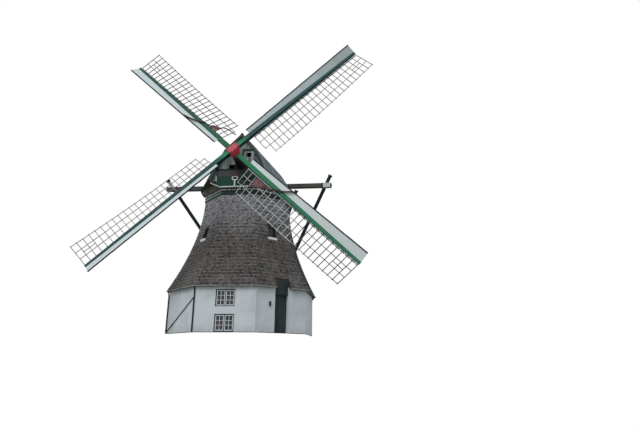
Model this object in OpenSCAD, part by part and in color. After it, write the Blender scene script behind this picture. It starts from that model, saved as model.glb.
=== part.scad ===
// Eight-sided smock windmill on a masonry base, with a turning cap, a tail pole
// and four lattice sails. Millimetres, +Z up, front of the mill towards -Y.
// Origin: centre of the base at ground level.

/* [Masonry base] */
// Width of the base across its flats
wall_flat = 9220; // [9000:10:9400]
// Height of the masonry walls
wall_h = 2860; // [2840:10:2880]
// Thickness of the masonry walls
wall_t = 420; // [320:10:520]
// Width of a window opening in the base
window_w = 1220; // [900:10:1500]
// Height of a window opening in the base
window_h = 1040; // [800:10:1060]
// Height of the lower window's opening above the ground
window_low_z = 40; // [20:10:120]
// Height of the upper window's opening above the ground
window_high_z = 1530; // [1500:10:1700]
// Width of the doorway
doorway_w = 1040; // [900:10:1200]
// Height of the door opening under the head panel
doorway_h = 2330; // [2100:10:2400]
// How far the door stands back from the wall's outer face
door_recess = 240; // [180:10:260]
// Thickness of the door leaf
door_t = 60; // [45:5:80]

/* [Smock] */
// How far the smock's lower edge stands out from the walls
skirt_over = 210; // [190:5:230]
// Width across the flats at the top of the smock
smock_top_flat = 5720; // [5660:10:5800]
// Height of the smock's lower edge above the ground
skirt_z = 2760; // [2740:10:2780]
// Height of the smock's top above the ground
smock_z = 9230; // [9150:10:9300]
// How strongly the smock flares towards its lower edge
flare = 1.8; // [1.6:0.05:2]
// Thickness of the smock's shingled boarding
smock_t = 120; // [100:5:140]
// Height of the notch over the doorway, above the ground
notch_z = 3300; // [3200:10:3400]
// Width of a smock window
loft_window_w = 520; // [400:10:600]
// Height of a smock window
loft_window_h = 780; // [600:10:900]
// Height of the smock windows' sills above the ground
loft_window_z = 6240; // [6000:10:6400]

/* [Cap] */
// Height of the green curb band
band_h = 300; // [250:10:340]
// Height of the white blocks on the curb
block_h = 110; // [90:5:130]
// Running gap between the curb and the cap's skirt
cap_gap = 25; // [15:1:40]
// Distance of the cap's side eaves from the axis
eave_out = 3220; // [3180:10:3260]
// Height of the eaves above the ground
eave_z = 10160; // [10100:10:10200]
// Height of the ridge over the front gable
ridge_z = 13820; // [13700:10:13950]
// Thickness of the cap's roof
roof_t = 110; // [90:5:130]
// How far the front gable leans back, in degrees
gable_lean = 8; // [6:1:10]
// Distance of the front peak forward of the mill's axis
peak_y = 2800; // [2750:10:2850]
// Distance of the rear gable behind the mill's axis
rear_y = 3000; // [2950:10:3100]

/* [Winding gear] */
// Reach of the long cross beam beyond the base, on each side
spruit_reach = 1565; // [1400:5:1700]
// Height of the long cross beam's axis above the ground
long_spruit_z = 10560; // [10540:5:10580]
// Depth and width of the long cross beam
long_spruit_s = 300; // [280:10:310]
// Length of the short cross beam
short_spruit_l = 6400; // [6200:10:6800]
// Distance of the tail pole's foot behind the base
tail_reach = 1990; // [1950:10:2200]
// Height of the tail pole's foot above the ground
tail_foot_z = 900; // [800:10:1000]
// Thickness of the tail pole
tail_s = 260; // [220:10:280]
// Thickness of a brace
brace_s = 130; // [100:5:140]

/* [Sails] */
// Half length of a stock, from the shaft to the sail's tip
stock_l = 11500; // [11200:10:11500]
// Distance of the stocks' crossing forward of the mill's axis
hub_y = 4640; // [4600:10:4800]
// Height of the stocks' crossing above the ground
hub_z = 11680; // [11650:10:11850]
// Tilt of the windshaft, in degrees
shaft_tilt = 12; // [11:0.5:12.5]
// Angle of the first sail above the horizontal, in degrees
sail_angle = 45.54; // [30:0.1:60]
// Width of a stock at the hub
stock_w = 310; // [280:10:340]
// Width of a stock at its tip
stock_tip_w = 170; // [150:10:200]
// Depth of a stock at the hub
stock_d = 300; // [260:10:320]
// Depth of a stock at its tip
stock_tip_d = 150; // [130:10:170]
// Number of lattice bars on a sail
bar_count = 25; // [21:1:27]
// Radius of the innermost lattice bar
lattice_in = 1680; // [1600:10:2000]
// Width of the lattice from the stock's centre line
lattice_w = 1780; // [1600:10:2000]
// How far the lattice's outer edge lies back at its inner end
weather_in = 650; // [500:10:750]
// How far the lattice's outer edge lies back at the tip, less than nothing being forward
weather_tip = -80; // [-120:10:50]
// Width of a lattice bar
bar_w = 45; // [35:1:60]
// Thickness of a lattice bar
bar_t = 32; // [24:1:40]
// Radius at which the windboards start
board_in = 1550; // [1400:10:1700]
// Distance of the windboards' outer edge from the stock's centre line at the inner end
board_w_in = 410; // [380:10:480]
// Distance of the windboards' outer edge from the stock's centre line at the tip
board_w_tip = 620; // [560:10:700]
// How far forward the windboards' outer edge lies at the inner end
board_rise_in = 170; // [140:10:220]
// How far forward the windboards' outer edge lies at the tip
board_rise_tip = 360; // [280:10:400]
// Thickness of the windboards
board_t = 25; // [20:1:35]

/* [Hidden] */
$fn = 48;
eps = 1;                                // Overrun of a cut past the face it leaves
joint = 0.3;                            // Open joint between pieces that are only fitted together
oct_tan = tan(22.5);                    // Half a side of an octagon over its apothem
oct_cos = cos(22.5);                    // Apothem of an octagon over its corner radius

wall_out = wall_flat / 2;
wall_in = wall_out - wall_t;
floor_t = 60;
loft_floor_z = wall_h - 120;
stone_floor_z = 5500;
plate_h = 200;                          // Timber plate on top of the walls
plate_out = wall_out - 20;
plate_in = wall_in + 60;
skirt_out = wall_out + skirt_over;
smock_top_out = smock_top_flat / 2;
profile_steps = 14;
loft_frame = 50;                        // Frame of a smock window
loft_pane_in = 330;                     // Its upright pane, in from the shingles at its sill
loft_pane_t = 40;
loft_sill = 40;                         // Overhang of its lining's foot
loft_box_d = 420;
loft_proud = 15;                        // Rest of the lining over the shingled slope

frame_w = 60;                           // Window frame members
frame_d = 90;
frame_recess = 60;
mullion_w = 50;
sash_w = 45;
sash_d = 40;
sash_recess = frame_recess + 10;
glass_t = 8;
light_w = (window_w - 2 * frame_w - mullion_w) / 2;
light_h = window_h - 2 * frame_w;

jamb_w = 50;                            // Door frame members
jamb_d = 100;
lintel_h = 70;
door_gap = 12;
door_front = wall_out - door_recess;
door_back = door_front - door_t;
door_w = doorway_w - 2 * jamb_w - 2 * door_gap;
door_low = floor_t + door_gap;
door_high = doorway_h - door_gap;
hinge_r = 10;                           // Pin of a door hinge
hinge_fit = 0.3;
hinge_wall = 9;
hinge_h = 90;
strap_l = 520;
hinge_y = door_back - 30;
hinge_x = doorway_w / 2 - jamb_w - 22;
head_t = 40;
head_out = smock_out(notch_z) - 20;

long_spruit_l = wall_flat + 2 * spruit_reach;
tail_foot_y = wall_out + tail_reach;

bracket_drop = 260;                     // Height of the eave brackets against the wall
pipe_r = 45;                            // Downpipes and the stay between them
stay_r = 25;
pipe_y = wall_out / oct_cos + pipe_r;
neck_top_y = (skirt_out - smock_t) / oct_cos;

band_out = smock_top_out + 50;
band_in = 2350;
band_top = smock_z + band_h;
block_n = 7;
block_t = 70;
block_space = 55;
block_out = band_out - 20;
block_top = band_top + block_h;

skirt_low_out = 2960;                   // Cap's octagonal skirt, lower and upper edge
skirt_high_out = 3090;
skirt_board_t = 50;
skirt_low_z = block_top + cap_gap;
eave_board_t = 50;
glide_gap = 0.3;
ring_in = 2400;
ring_out = 2700;
ring_h = 240;
sheer_w = 300;
sheer_h = 420;
sheer_x = 1300;
sheer_top = long_spruit_z - long_spruit_s / 2;
ring_top = sheer_top - sheer_h;
glide_n = 12;
gable_inset = 220;
gable_t = 70;
long_spruit_y = -470;
short_spruit_s = 240;
short_spruit_y = 2250;
short_spruit_z = sheer_top + 360;
sheer_reach = 2650;                     // Half length of the sheers
tail_beam_w = 300;                      // Beam on the cap's ring that carries the tail pole
tail_beam_h = 280;
tail_beam_l = 2200;
tail_over = 400;                        // Length of the tail pole that is cut off under its beam
brace_in = 495;                         // Braces' seats, in from the ends of the two cross beams
short_brace_in = 150;
brace_gap = 40;
brace_foot = 500;                       // Braces' feet, up the tail pole
short_brace_foot = 2700;
brace_over = 650;                       // Braces' ends above the cross beams
short_brace_over = 250;
winch_up = 330;                         // Winch, up the tail pole
cheek_t = 40;                           // Cheeks that carry the winch's drum
cheek_l = 480;
cheek_h = 260;
cheek_in = 100;
drum_r = 80;
drum_over = 220;
drum_y = 270;
spoke_l = 900;
spoke_s = 50;

shaft_r = 250;                          // Windshaft at its neck, and behind it
shaft_tail_r = 150;
neck_block_h = 700;                     // Neck bearing: block on its cross beam, and its depth
neck_beam_h = 420;
neck_d = 400;
neck_back = 30;                         // Room between the neck bearing and the gable
neck_top_z = sheer_top + neck_beam_h + neck_block_h;
neck_y = -board_y(neck_top_z) - (gable_inset + gable_t) / cos(gable_lean) - neck_d / 2 - neck_back;
neck_beam_l = 3500;
neck_block_w = 900;
tail_bearing_y = 1250;                  // Tail bearing, behind the axis
tail_block_w = 300;
tail_block_l = 2900;
tail_block_h = 320;
tail_beam_y = tail_bearing_y + 250;
shaft_over = 250;                       // Windshaft behind its tail bearing
shaft_cone_y = 350;                     // Where the windshaft starts to thin, behind the neck
shaft_cone_l = 900;
beam_room = 15;                         // Room for the windshaft through a cross beam
shaft_fit = 0.4;
stock_gap = 20;                         // Between the two stocks along the shaft
outer_s = (stock_gap + stock_d) / 2;
poll_wall = 70;                         // Poll end: boxes round the two stocks
poll_long = 750;
poll_short = stock_w + 2 * poll_wall;
poll_over = 60;
core = 520;                             // Half length of a stock's straight middle

front_half = 1560;                      // Half width of the boards and the name board
gable_low_z = 10440;                    // Lower edge of the front gable
front_board_y = 3150;                   // Front face of the boards under the gable
front_board_t = 40;
barge_w = 190;
edging_t = 25;
name_board_h = 560;
name_board_t = 40;
gable_window_x = 420;                   // Square window in the gable
gable_window_w = 300;
gable_window_h = 340;
gable_window_z = ridge_z - 1820;
shaft_slot_w = 1300;                    // Opening round the shaft, over the name board
shaft_slot_x = -760;
shaft_slot_low_z = gable_low_z + 580;
shaft_slot_h = 400;
ornament_z = skirt_low_z + 650;         // Middle of the ornament's ring

bar_back = 50;                          // Lattice bars pass through the stock behind its middle
bar_pitch = (stock_l - 40 - lattice_in) / (bar_count - 1);
bar_over = 60;
lath_w = 40;
lath_t = 28;
lath_shares = [0.385, 0.69, 1];         // Places of the laths across the lattice
lath_bars = 4;                          // Bars to one length of lath
weather_bend = 1.8;                     // How the lattice's twist grows from the tip inwards
board_n = 6;                            // Lengths of windboard on a sail
board_l = (stock_l - board_in) / board_n;
edge_w = 70;                            // Batten along the windboards' outer edge
edge_t = 60;
cloth_r = 60;                           // Rolled cloth
flap_t = 60;
flap_l = 850;                           // Flap across the lattice, and its edge beside the stock
flap_in = 90;
roll_drop = 170;                        // Where the roll leaves the stock
flap_gap = 8;                           // Room under the flap for the lattice's twist

// Outer apothem of the smock at a height
function smock_out(z) = smock_top_out
    + (skirt_out - smock_top_out) * pow((smock_z - z) / (smock_z - skirt_z), flare);
// Point of the windshaft's axis over a place forward of the mill's axis
function shaft_z(y) = hub_z - (hub_y - y) * tan(shaft_tilt);
function board_y(z) = -peak_y - (ridge_z - z) * tan(gable_lean);

module on_face(k) { rotate([0, 0, 45 * k]) children(); }
module on_corner(k) { rotate([0, 0, 45 * k + 22.5]) children(); }
module lean() { translate([0, -peak_y, ridge_z]) rotate([-gable_lean, 0, 0]) children(); }
module on_shaft() { translate([0, -hub_y, hub_z]) rotate([90 - shaft_tilt, 0, 0]) children(); }
module on_sail(k) { on_shaft() rotate([0, 0, sail_angle + 90 * k]) children(); }

module octagon(outer) {
    rotate(22.5) circle(r = outer / oct_cos, $fn = 8);
}

// One eighth of an eight-sided ring, between two apothems
module ring_segment(outer, inner, h) {
    linear_extrude(h)
        polygon([[-outer * oct_tan, -outer], [outer * oct_tan, -outer],
            [inner * oct_tan, -inner], [-inner * oct_tan, -inner]]);
}

module wall_segment() { ring_segment(wall_out, wall_in, wall_h); }

module window_hole(z) {
    translate([-window_w / 2, -wall_out - eps, z])
        cube([window_w, wall_t + 2 * eps, window_h]);
}

module window_wall() {
    difference() {
        wall_segment();
        window_hole(window_low_z);
        window_hole(window_high_z);
    }
}

module wall_front() { color("white") on_face(0) window_wall(); }
module wall_back() { color("white") on_face(4) window_wall(); }

module wall_doorway() {
    color("white") on_face(1) difference() {
        wall_segment();
        translate([-doorway_w / 2, -wall_out - eps, -eps])
            cube([doorway_w, wall_t + 2 * eps, wall_h + 2 * eps]);
    }
}

module walls_sides() { color("white") for (k = [2, 6]) on_face(k) wall_segment(); }
module walls_diagonal() { color("white") for (k = [3, 5, 7]) on_face(k) wall_segment(); }

module floors() {
    color("tan") {
        linear_extrude(floor_t) octagon(wall_in);
        translate([0, 0, loft_floor_z]) linear_extrude(wall_h - loft_floor_z) octagon(wall_in);
        translate([0, 0, stone_floor_z])
            linear_extrude(80) octagon(smock_out(stone_floor_z + 80) - smock_t);
    }
}

module plate_ring() {
    translate([0, 0, wall_h + joint]) linear_extrude(plate_h) difference() {
        octagon(plate_out);
        octagon(plate_in);
    }
}

module sole_plate() {
    color("sienna") difference() {
        plate_ring();
        on_face(1) translate([-doorway_w / 2, -skirt_out, wall_h - eps])
            cube([doorway_w, skirt_out - wall_in, plate_h + 2 * eps]);
    }
}

// Flared section of the smock's boarding, drawn as outward distance and height
module smock_profile() {
    heights = [for (i = [0:profile_steps]) skirt_z + (smock_z - skirt_z) * i / profile_steps];
    polygon(concat(
        [for (z = heights) [-smock_out(z), z]],
        [for (i = [profile_steps:-1:0]) [-smock_out(heights[i]) + smock_t, heights[i]]]));
}

module smock_face() {
    difference() {
        intersection() {
            rotate([90, 0, 90])
                linear_extrude(2 * skirt_out * oct_tan + 2, center = true) smock_profile();
            linear_extrude(smock_z + eps)
                polygon([[0, -joint], [-skirt_out * oct_tan, -skirt_out - joint],
                    [skirt_out * oct_tan, -skirt_out - joint]]);
        }
        plate_ring();
        translate([0, 0, stone_floor_z])
            linear_extrude(80) octagon(smock_out(stone_floor_z + 80) - smock_t);
    }
}

// Box through the smock for an upright window, grown by its lining
module loft_window_box(grow) {
    translate([-loft_window_w / 2 - grow, -smock_out(loft_window_z) - loft_sill, loft_window_z - grow])
        cube([loft_window_w + 2 * grow, loft_box_d, loft_window_h + 2 * grow]);
}

// All that lies outside one face of the smock, from a little off its slope
module outside_smock(off) {
    heights = [for (i = [0:profile_steps]) skirt_z + (smock_z - skirt_z) * i / profile_steps];
    rotate([90, 0, 90]) linear_extrude(2 * skirt_out, center = true)
        polygon(concat([for (z = heights) [-smock_out(z) - off, z]],
            [[-2 * skirt_out, smock_z], [-2 * skirt_out, skirt_z]]));
}

module smock_front_back() {
    color("dimgray") for (k = [0, 4]) on_face(k) smock_face();
}

module smock_door_side() {
    color("dimgray") {
        on_face(1) difference() {
            smock_face();
            loft_window_box(loft_frame);
            translate([-doorway_w / 2, -skirt_out - eps, 0])
                cube([doorway_w, skirt_out - wall_in, notch_z]);
        }
        on_face(5) smock_face();
    }
}

module smock_sides() {
    color("dimgray") for (k = [2, 6]) on_face(k) smock_face();
}

module smock_left_side() {
    color("dimgray") {
        on_face(7) difference() {
            smock_face();
            loft_window_box(loft_frame);
        }
        on_face(3) smock_face();
    }
}

module curb_band() {
    color("seagreen") translate([0, 0, smock_z + joint]) linear_extrude(band_h - joint) difference() {
        octagon(band_out);
        circle(r = band_in, $fn = 64);
    }
}

module curb_blocks() {
    pitch = 2 * block_out * oct_tan / block_n;
    color("white") for (k = [0:7], i = [0:block_n - 1])
        on_face(k) translate([(i - block_n / 2) * pitch + block_space / 2, -block_out, band_top])
            cube([pitch - block_space, block_t, block_h]);
}

module each_window() {
    for (k = [0, 4], z = [window_low_z, window_high_z])
        on_face(k) translate([0, -wall_out, z]) children();
}

module window_frames() {
    color("darkslategray") each_window() difference() {
        translate([-window_w / 2, frame_recess, 0]) cube([window_w, frame_d, window_h]);
        for (s = [-1, 1])
            translate([s * (mullion_w + light_w) / 2 - light_w / 2, 0, frame_w])
                cube([light_w, frame_recess + frame_d + eps, light_h]);
    }
}

module each_light() {
    each_window() for (s = [-1, 1])
        translate([s * (mullion_w + light_w) / 2 - light_w / 2, sash_recess, frame_w]) children();
}

module window_sashes() {
    color("white") each_light() difference() {
        cube([light_w, sash_d, light_h]);
        translate([sash_w, -eps, sash_w])
            cube([light_w - 2 * sash_w, sash_d + 2 * eps, light_h - 2 * sash_w]);
    }
}

module window_glass() {
    color("lightblue", 0.4) each_light()
        translate([sash_w, (sash_d - glass_t) / 2, sash_w])
            cube([light_w - 2 * sash_w, glass_t, light_h - 2 * sash_w]);
}

module hinge_heights() {
    for (z = [door_low + 250, door_high - 250 - hinge_h]) translate([0, 0, z]) children();
}

module door_frame() {
    half = doorway_w / 2;
    color("darkslategray") on_face(1) {
        for (s = [-1, 1])
            translate([s * (half - jamb_w / 2) - jamb_w / 2, -door_front, floor_t])
                cube([jamb_w, jamb_d, doorway_h - floor_t]);
        translate([-half, -head_out, doorway_h])
            cube([doorway_w, head_out - door_front + jamb_d, lintel_h]);
        hinge_heights() translate([hinge_x, -hinge_y, -hinge_h / 2]) {
            cylinder(r = hinge_r, h = hinge_h * 1.4);
            translate([0, -8, 0]) cube([half - jamb_w - hinge_x + eps, 16, hinge_h / 2 - hinge_fit]);
            translate([half - jamb_w - hinge_x - eps, -8, 0])
                cube([jamb_w / 2, 16, hinge_h / 2 - hinge_fit]);
        }
    }
}

module door_leaf() {
    left = -doorway_w / 2 + jamb_w + door_gap;
    color("darkslategray") on_face(1) {
        translate([left, -door_front, door_low]) cube([door_w, door_t, door_high - door_low]);
        hinge_heights() difference() {
            union() {
                translate([hinge_x, -hinge_y, 0]) cylinder(r = hinge_r + hinge_wall, h = hinge_h / 2);
                translate([hinge_x - strap_l, -door_back, 0])
                    cube([strap_l - hinge_r - hinge_wall / 2, 12, hinge_h / 2]);
                translate([hinge_x - 60, -door_back, 0]) cube([60, 32, hinge_h / 2]);
            }
            translate([hinge_x, -hinge_y, -eps]) cylinder(r = hinge_r + hinge_fit, h = hinge_h);
        }
    }
}

module door_head() {
    color("#3c3f41") on_face(1)
        translate([-doorway_w / 2, -head_out, doorway_h + lintel_h])
            cube([doorway_w, head_t, notch_z - doorway_h - lintel_h]);
}

module loft_windows() {
    color("white") for (k = [1, 7]) on_face(k) {
        difference() {
            loft_window_box(loft_frame);
            translate([0, -eps, 0]) loft_window_box(0);
            outside_smock(loft_proud);
        }
        translate([-loft_window_w / 2, -smock_out(loft_window_z) + loft_pane_in, loft_window_z])
            cube([loft_window_w, loft_pane_t, loft_window_h]);
    }
}

module eave_brackets() {
    color("black") for (k = [2, 3]) on_corner(k) {
        reach = (skirt_out - smock_t / 2) / oct_cos;
        foot = wall_out / oct_cos;
        translate([-30, 0, 0]) rotate([90, 0, 90]) linear_extrude(60)
            polygon([[-foot, skirt_z], [-reach, skirt_z], [-reach, skirt_z - 40],
                [-foot, skirt_z - bracket_drop]]);
    }
}

module pipe_run() {
    bend_z = skirt_z - bracket_drop;
    rise = skirt_z - 30 - bend_z;
    run = neck_top_y - pipe_y;
    translate([0, -pipe_y, 20]) cylinder(r = pipe_r, h = bend_z - 20);
    translate([0, -pipe_y, bend_z]) sphere(r = pipe_r);
    translate([0, -pipe_y, bend_z]) rotate([atan2(run, rise), 0, 0])
        cylinder(r = pipe_r, h = norm([run, rise]));
}

module downpipes() {
    stay_y = wall_out + stay_r + 10;
    stay_x = pipe_y * sin(22.5);
    high = [stay_x, -stay_y, 2140];
    low = [-stay_x, -stay_y, 80];
    color("#2a2c2c") {
        on_corner(-1) pipe_run();
        on_corner(-2) pipe_run();
        on_face(-1) translate(low)
            rotate([0, atan2(high[0] - low[0], high[2] - low[2]), 0])
                cylinder(r = stay_r, h = norm(high - low));
    }
}

// Cross sections of the cap from front to rear: place, half width at the eaves, drop of
// the ridge, then the shoulder and the hip as shares of the half width and the height
cap_rows = [
    [0, 2150, 0, 0.535, 0.64, 0.837, 0.23],
    [-eave_out * oct_tan, eave_out, 60, 0.473, 0.586, 0.818, 0.253],
    [eave_out * oct_tan, eave_out, 220, 0.431, 0.613, 0.773, 0.288],
    [rear_y, 1650, 470, 0.485, 0.661, 0.8, 0.342]];

// Left half of one section, from eave to ridge, drawn in by a roof thickness
function half_section(row, t) = let (w = row[1], h = ridge_z - row[2] - eave_z) [
    [w - t, eave_z - (t > 0 ? eps : 0)],
    [w * row[5] - 0.85 * t, eave_z + h * row[6] - 0.5 * t],
    [w * row[3] - 0.75 * t, eave_z + h * row[4] - 0.75 * t],
    [0, eave_z + h - 1.3 * t]];

function section(row, t) = let (half = half_section(row, t))
    concat([for (p = half) [-p[0], p[1]]], [for (i = [2:-1:0]) half[i]]);

// Right half of a section as a closed ring, which for the hollow runs on past the middle
function half_ring(row, t) = let (half = half_section(row, t), past = t / 2 / half[2][0])
    [[-t / 2, half[0][1]], half[3] + past * (half[3] - half[2]), half[2], half[1], half[0]];

// Solid between rings of equally many points
module loft(rings) {
    n = len(rings);
    m = len(rings[0]);
    sides = [for (i = [0:n - 2], j = [0:m - 1]) let (a = i * m + j, b = i * m + (j + 1) % m)
        each [[a, a + m, b + m], [a, b + m, b]]];
    polyhedron([for (ring = rings) each ring],
        concat(sides, [[for (j = [0:m - 1]) j]], [[for (j = [m - 1:-1:0]) (n - 1) * m + j]]));
}

// Rings of the cap from front to rear. Those of the hollow run past both gables.
function cap_rings(t) = let (last = len(cap_rows) - 1,
    over = t > 0 ? [600, t] : [0],
    places = concat([for (d = over) [0, -d]], [for (i = [1:last - 1]) [i, 0]],
        [for (i = [len(over) - 1:-1:0]) [last, over[i]]]))
    [for (place = places) let (row = cap_rows[place[0]])
        [for (p = half_ring(row, t)) [p[0], place[1] +
            (place[0] == 0 ? board_y(p[1]) : place[0] == last ? rear_y : row[0]), p[1]]]];

module cap_roof_half() {
    difference() {
        loft(cap_rings(0));
        loft(cap_rings(roof_t));
        spruit_beams();
    }
}

// The hollow under the roof, for the gables that close it
module cap_hollow() {
    for (s = [0, 1]) mirror([s, 0, 0]) intersection() {
        loft(cap_rings(roof_t + joint));
        translate([-joint / 2, -3 * peak_y, 0]) cube([eave_out, 6 * peak_y, ridge_z]);
    }
}

module under_eaves() {
    translate([-eave_out, -2 * peak_y, 0]) cube([2 * eave_out, 4 * peak_y, eave_z + joint]);
}

module cap_roof_right() { color("slategray") cap_roof_half(); }
module cap_roof_left() { color("slategray") mirror([1, 0, 0]) cap_roof_half(); }

module front_gable() {
    color("gray") difference() {
        intersection() {
            cap_hollow();
            lean() translate([-eave_out, gable_inset, -2 * peak_y])
                cube([2 * eave_out, gable_t, 2 * peak_y]);
        }
        under_eaves();
        translate([-front_half, -2 * peak_y, 0]) cube([2 * front_half, 2 * peak_y, gable_low_z]);
        on_shaft() translate([0, 0, -hub_y]) cylinder(r = shaft_r + 60, h = hub_y);
        translate([shaft_slot_x, -2 * peak_y, shaft_slot_low_z])
            cube([shaft_slot_w, 2 * peak_y, shaft_slot_h]);
        translate([gable_window_x, -2 * peak_y, gable_window_z])
            cube([gable_window_w, 2 * peak_y, gable_window_h]);
    }
}

module rear_gable() {
    color("gray") difference() {
        intersection() {
            cap_hollow();
            translate([-eave_out, rear_y - gable_inset, 0]) cube([2 * eave_out, gable_t, ridge_z]);
        }
        under_eaves();
        tail_beam();
    }
}

module barge_boards() {
    function leaned(list) = [for (p = list) [p[0], (p[1] - ridge_z) / cos(gable_lean)]];
    inner = section(cap_rows[0], barge_w);
    color("#4a5055") lean() translate([0, -joint, 0]) rotate([90, 0, 0]) linear_extrude(40) difference() {
        polygon(leaned(section(cap_rows[0], 0)));
        polygon(leaned([for (p = inner) [p[0], p[1] <= eave_z ? p[1] - barge_w : p[1]]]));
    }
}

module name_board() {
    color("#24463a") lean()
        translate([-front_half, gable_inset - name_board_t,
            (gable_low_z + 30 - ridge_z) / cos(gable_lean)])
            cube([2 * front_half, name_board_t, name_board_h]);
}

// Left half of the boards' outline under the gable, from the foot to the top
front_outline = [[-1180, skirt_low_z], [-1930, 9990], [-1900, 10080],
    [-front_half, 10080], [-front_half, gable_low_z]];

module on_front() { translate([0, -front_board_y, 0]) rotate([90, 0, 0]) children(); }

module front_boards() {
    color("#17503a") on_front() translate([0, 0, -front_board_t]) linear_extrude(front_board_t)
        difference() {
            polygon(concat(front_outline,
                [for (i = [len(front_outline) - 1:-1:0]) [-front_outline[i][0], front_outline[i][1]]]));
            translate([-300, skirt_low_z + 180]) square([1700, gable_low_z - skirt_low_z - 280]);
        }
}

// Eight-sided frustum that follows the skirt's slope, a little longer at both ends if over > 0
module skirt_frustum(inset, over) {
    top = eave_z - eave_board_t;
    slope = (skirt_high_out - skirt_low_out) / (top - skirt_low_z);
    low = skirt_low_out - inset - over * slope;
    high = skirt_high_out - inset + over * slope;
    intersection_for(k = [0:3]) rotate([0, 0, 45 * k]) rotate([90, 0, 0])
        linear_extrude(3 * skirt_high_out, center = true)
            polygon([[-low, skirt_low_z - over], [low, skirt_low_z - over],
                [high, top + over], [-high, top + over]]);
}

module skirt_shell() {
    difference() {
        skirt_frustum(0, 0);
        skirt_frustum(skirt_board_t, 10);
    }
}

module cap_skirt() {
    color("#33463c") difference() {
        union() {
            skirt_shell();
            translate([0, 0, eave_z - eave_board_t]) linear_extrude(eave_board_t) difference() {
                intersection() {
                    union() {
                        eaves_plan();
                        octagon(skirt_high_out + 15);
                    }
                    translate([-eave_out, -front_board_y + front_board_t])
                        square([2 * eave_out, 2 * front_board_y]);
                }
                octagon(skirt_high_out - 1.5 * skirt_board_t);
            }
        }
        tail_beam();
    }
}

// Plan of the eaves
module eaves_plan() {
    polygon(concat(
        [for (i = [0:3]) [-cap_rows[i][1], i == 0 ? board_y(eave_z) : cap_rows[i][0]]],
        [for (i = [3:-1:0]) [cap_rows[i][1], i == 0 ? board_y(eave_z) : cap_rows[i][0]]]));
}

// Flat strip of a width between two points of a plane
module strip(a, b, w) {
    d = b - a;
    translate(a) rotate(atan2(d[1], d[0])) translate([-w / 2, -w / 2]) square([norm(d) + w, w]);
}

// White edging round the boards, scalloped along the foot
module valance() {
    scallop_r = 75;
    edge_w = 50;
    n = floor(-2 * front_outline[0][0] / (2.1 * scallop_r));
    pitch = -2 * front_outline[0][0] / n;
    color("white") on_front() linear_extrude(edging_t) {
        for (s = [0, 1], i = [0:3]) mirror([s, 0]) strip(front_outline[i], front_outline[i + 1], edge_w);
        difference() {
            translate([front_outline[0][0], skirt_low_z - 20]) square([n * pitch, 105]);
            for (i = [0:n - 1])
                translate([front_outline[0][0] + (i + 0.5) * pitch, skirt_low_z - 45])
                    circle(r = scallop_r);
        }
    }
}

// Round-ended shape that lies along X
module oblong(r, half_l) {
    for (s = [-1, 1]) translate([s * half_l, 0]) circle(r = r);
    translate([-half_l, -r]) square([2 * half_l, 2 * r]);
}

module ornament() {
    foot_z = skirt_low_z + 95;
    color("white") translate([-250, -front_board_y, 0]) rotate([90, 0, 0]) linear_extrude(edging_t) {
        translate([0, ornament_z]) difference() {
            oblong(150, 70);
            oblong(85, 70);
        }
        translate([-45, foot_z]) square([90, ornament_z - 120 - foot_z]);
    }
}

module cap_ring() {
    base = band_top + glide_gap;
    color("peru") {
        translate([0, 0, ring_top - ring_h]) rotate_extrude($fn = 96)
            translate([ring_in, 0]) square([ring_out - ring_in, ring_h]);
        for (i = [0:glide_n - 1]) rotate([0, 0, i * 360 / glide_n])
            translate([ring_in + 40, -100, base]) cube([220, 200, ring_top - ring_h - base + eps]);
    }
}

module sheers() {
    color("saddlebrown") for (s = [-1, 1]) {
        translate([s * sheer_x - sheer_w / 2, -sheer_reach, ring_top])
            cube([sheer_w, 2 * sheer_reach, sheer_h]);
        translate([s * sheer_x - sheer_w / 2, short_spruit_y - short_spruit_s / 2, sheer_top - eps])
            cube([sheer_w, short_spruit_s, short_spruit_z - short_spruit_s / 2 - sheer_top + eps]);
    }
}

module tail_beam() {
    translate([-tail_beam_w / 2, tail_beam_y, ring_top]) cube([tail_beam_w, tail_beam_l, tail_beam_h]);
}

module shaft_bore(r) {
    on_shaft() translate([0, 0, -2 * hub_y]) cylinder(r = r, h = 2 * hub_y);
}

module shaft_bearings() {
    color("saddlebrown") {
        difference() {
            union() {
                translate([-neck_beam_l / 2, -neck_y - neck_d / 2, sheer_top])
                    cube([neck_beam_l, neck_d, neck_beam_h]);
                translate([-neck_block_w / 2, -neck_y - neck_d / 2, sheer_top + neck_beam_h - eps])
                    cube([neck_block_w, neck_d, neck_block_h + eps]);
            }
            shaft_bore(shaft_r + shaft_fit);
        }
        difference() {
            translate([-tail_block_l / 2, tail_bearing_y - tail_block_w / 2, sheer_top])
                cube([tail_block_l, tail_block_w, tail_block_h]);
            shaft_bore(shaft_tail_r + shaft_fit);
        }
    }
}

module spruit_beams() {
    translate([0, long_spruit_y, long_spruit_z])
        cube([long_spruit_l, long_spruit_s, long_spruit_s], center = true);
    translate([0, short_spruit_y, short_spruit_z])
        cube([short_spruit_l, short_spruit_s, short_spruit_s], center = true);
}

module spruits() {
    color("#5a5f48") difference() {
        spruit_beams();
        shaft_bore(shaft_tail_r + beam_room);
    }
}

tail_top = [0, tail_beam_y + tail_beam_l - tail_beam_w / 2, ring_top];
tail_foot = [0, tail_foot_y, tail_foot_z];

// Square bar from one point to another, as long as asked past its ends
module bar_between(a, b, s, over_a, over_b) {
    d = b - a;
    l = norm(d);
    translate(a) rotate([0, acos(d[2] / l), atan2(d[1], d[0])])
        translate([-s / 2, -s / 2, -over_a]) cube([s, s, l + over_a + over_b]);
}

module pole() {
    difference() {
        bar_between(tail_foot, tail_top, tail_s, 0, tail_over);
        translate([-tail_s, 0, ring_top]) cube([2 * tail_s, 2 * tail_foot_y, 2 * tail_over]);
    }
}

module tail_pole() {
    color("#1d3a30") {
        pole();
        tail_beam();
    }
}

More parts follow.
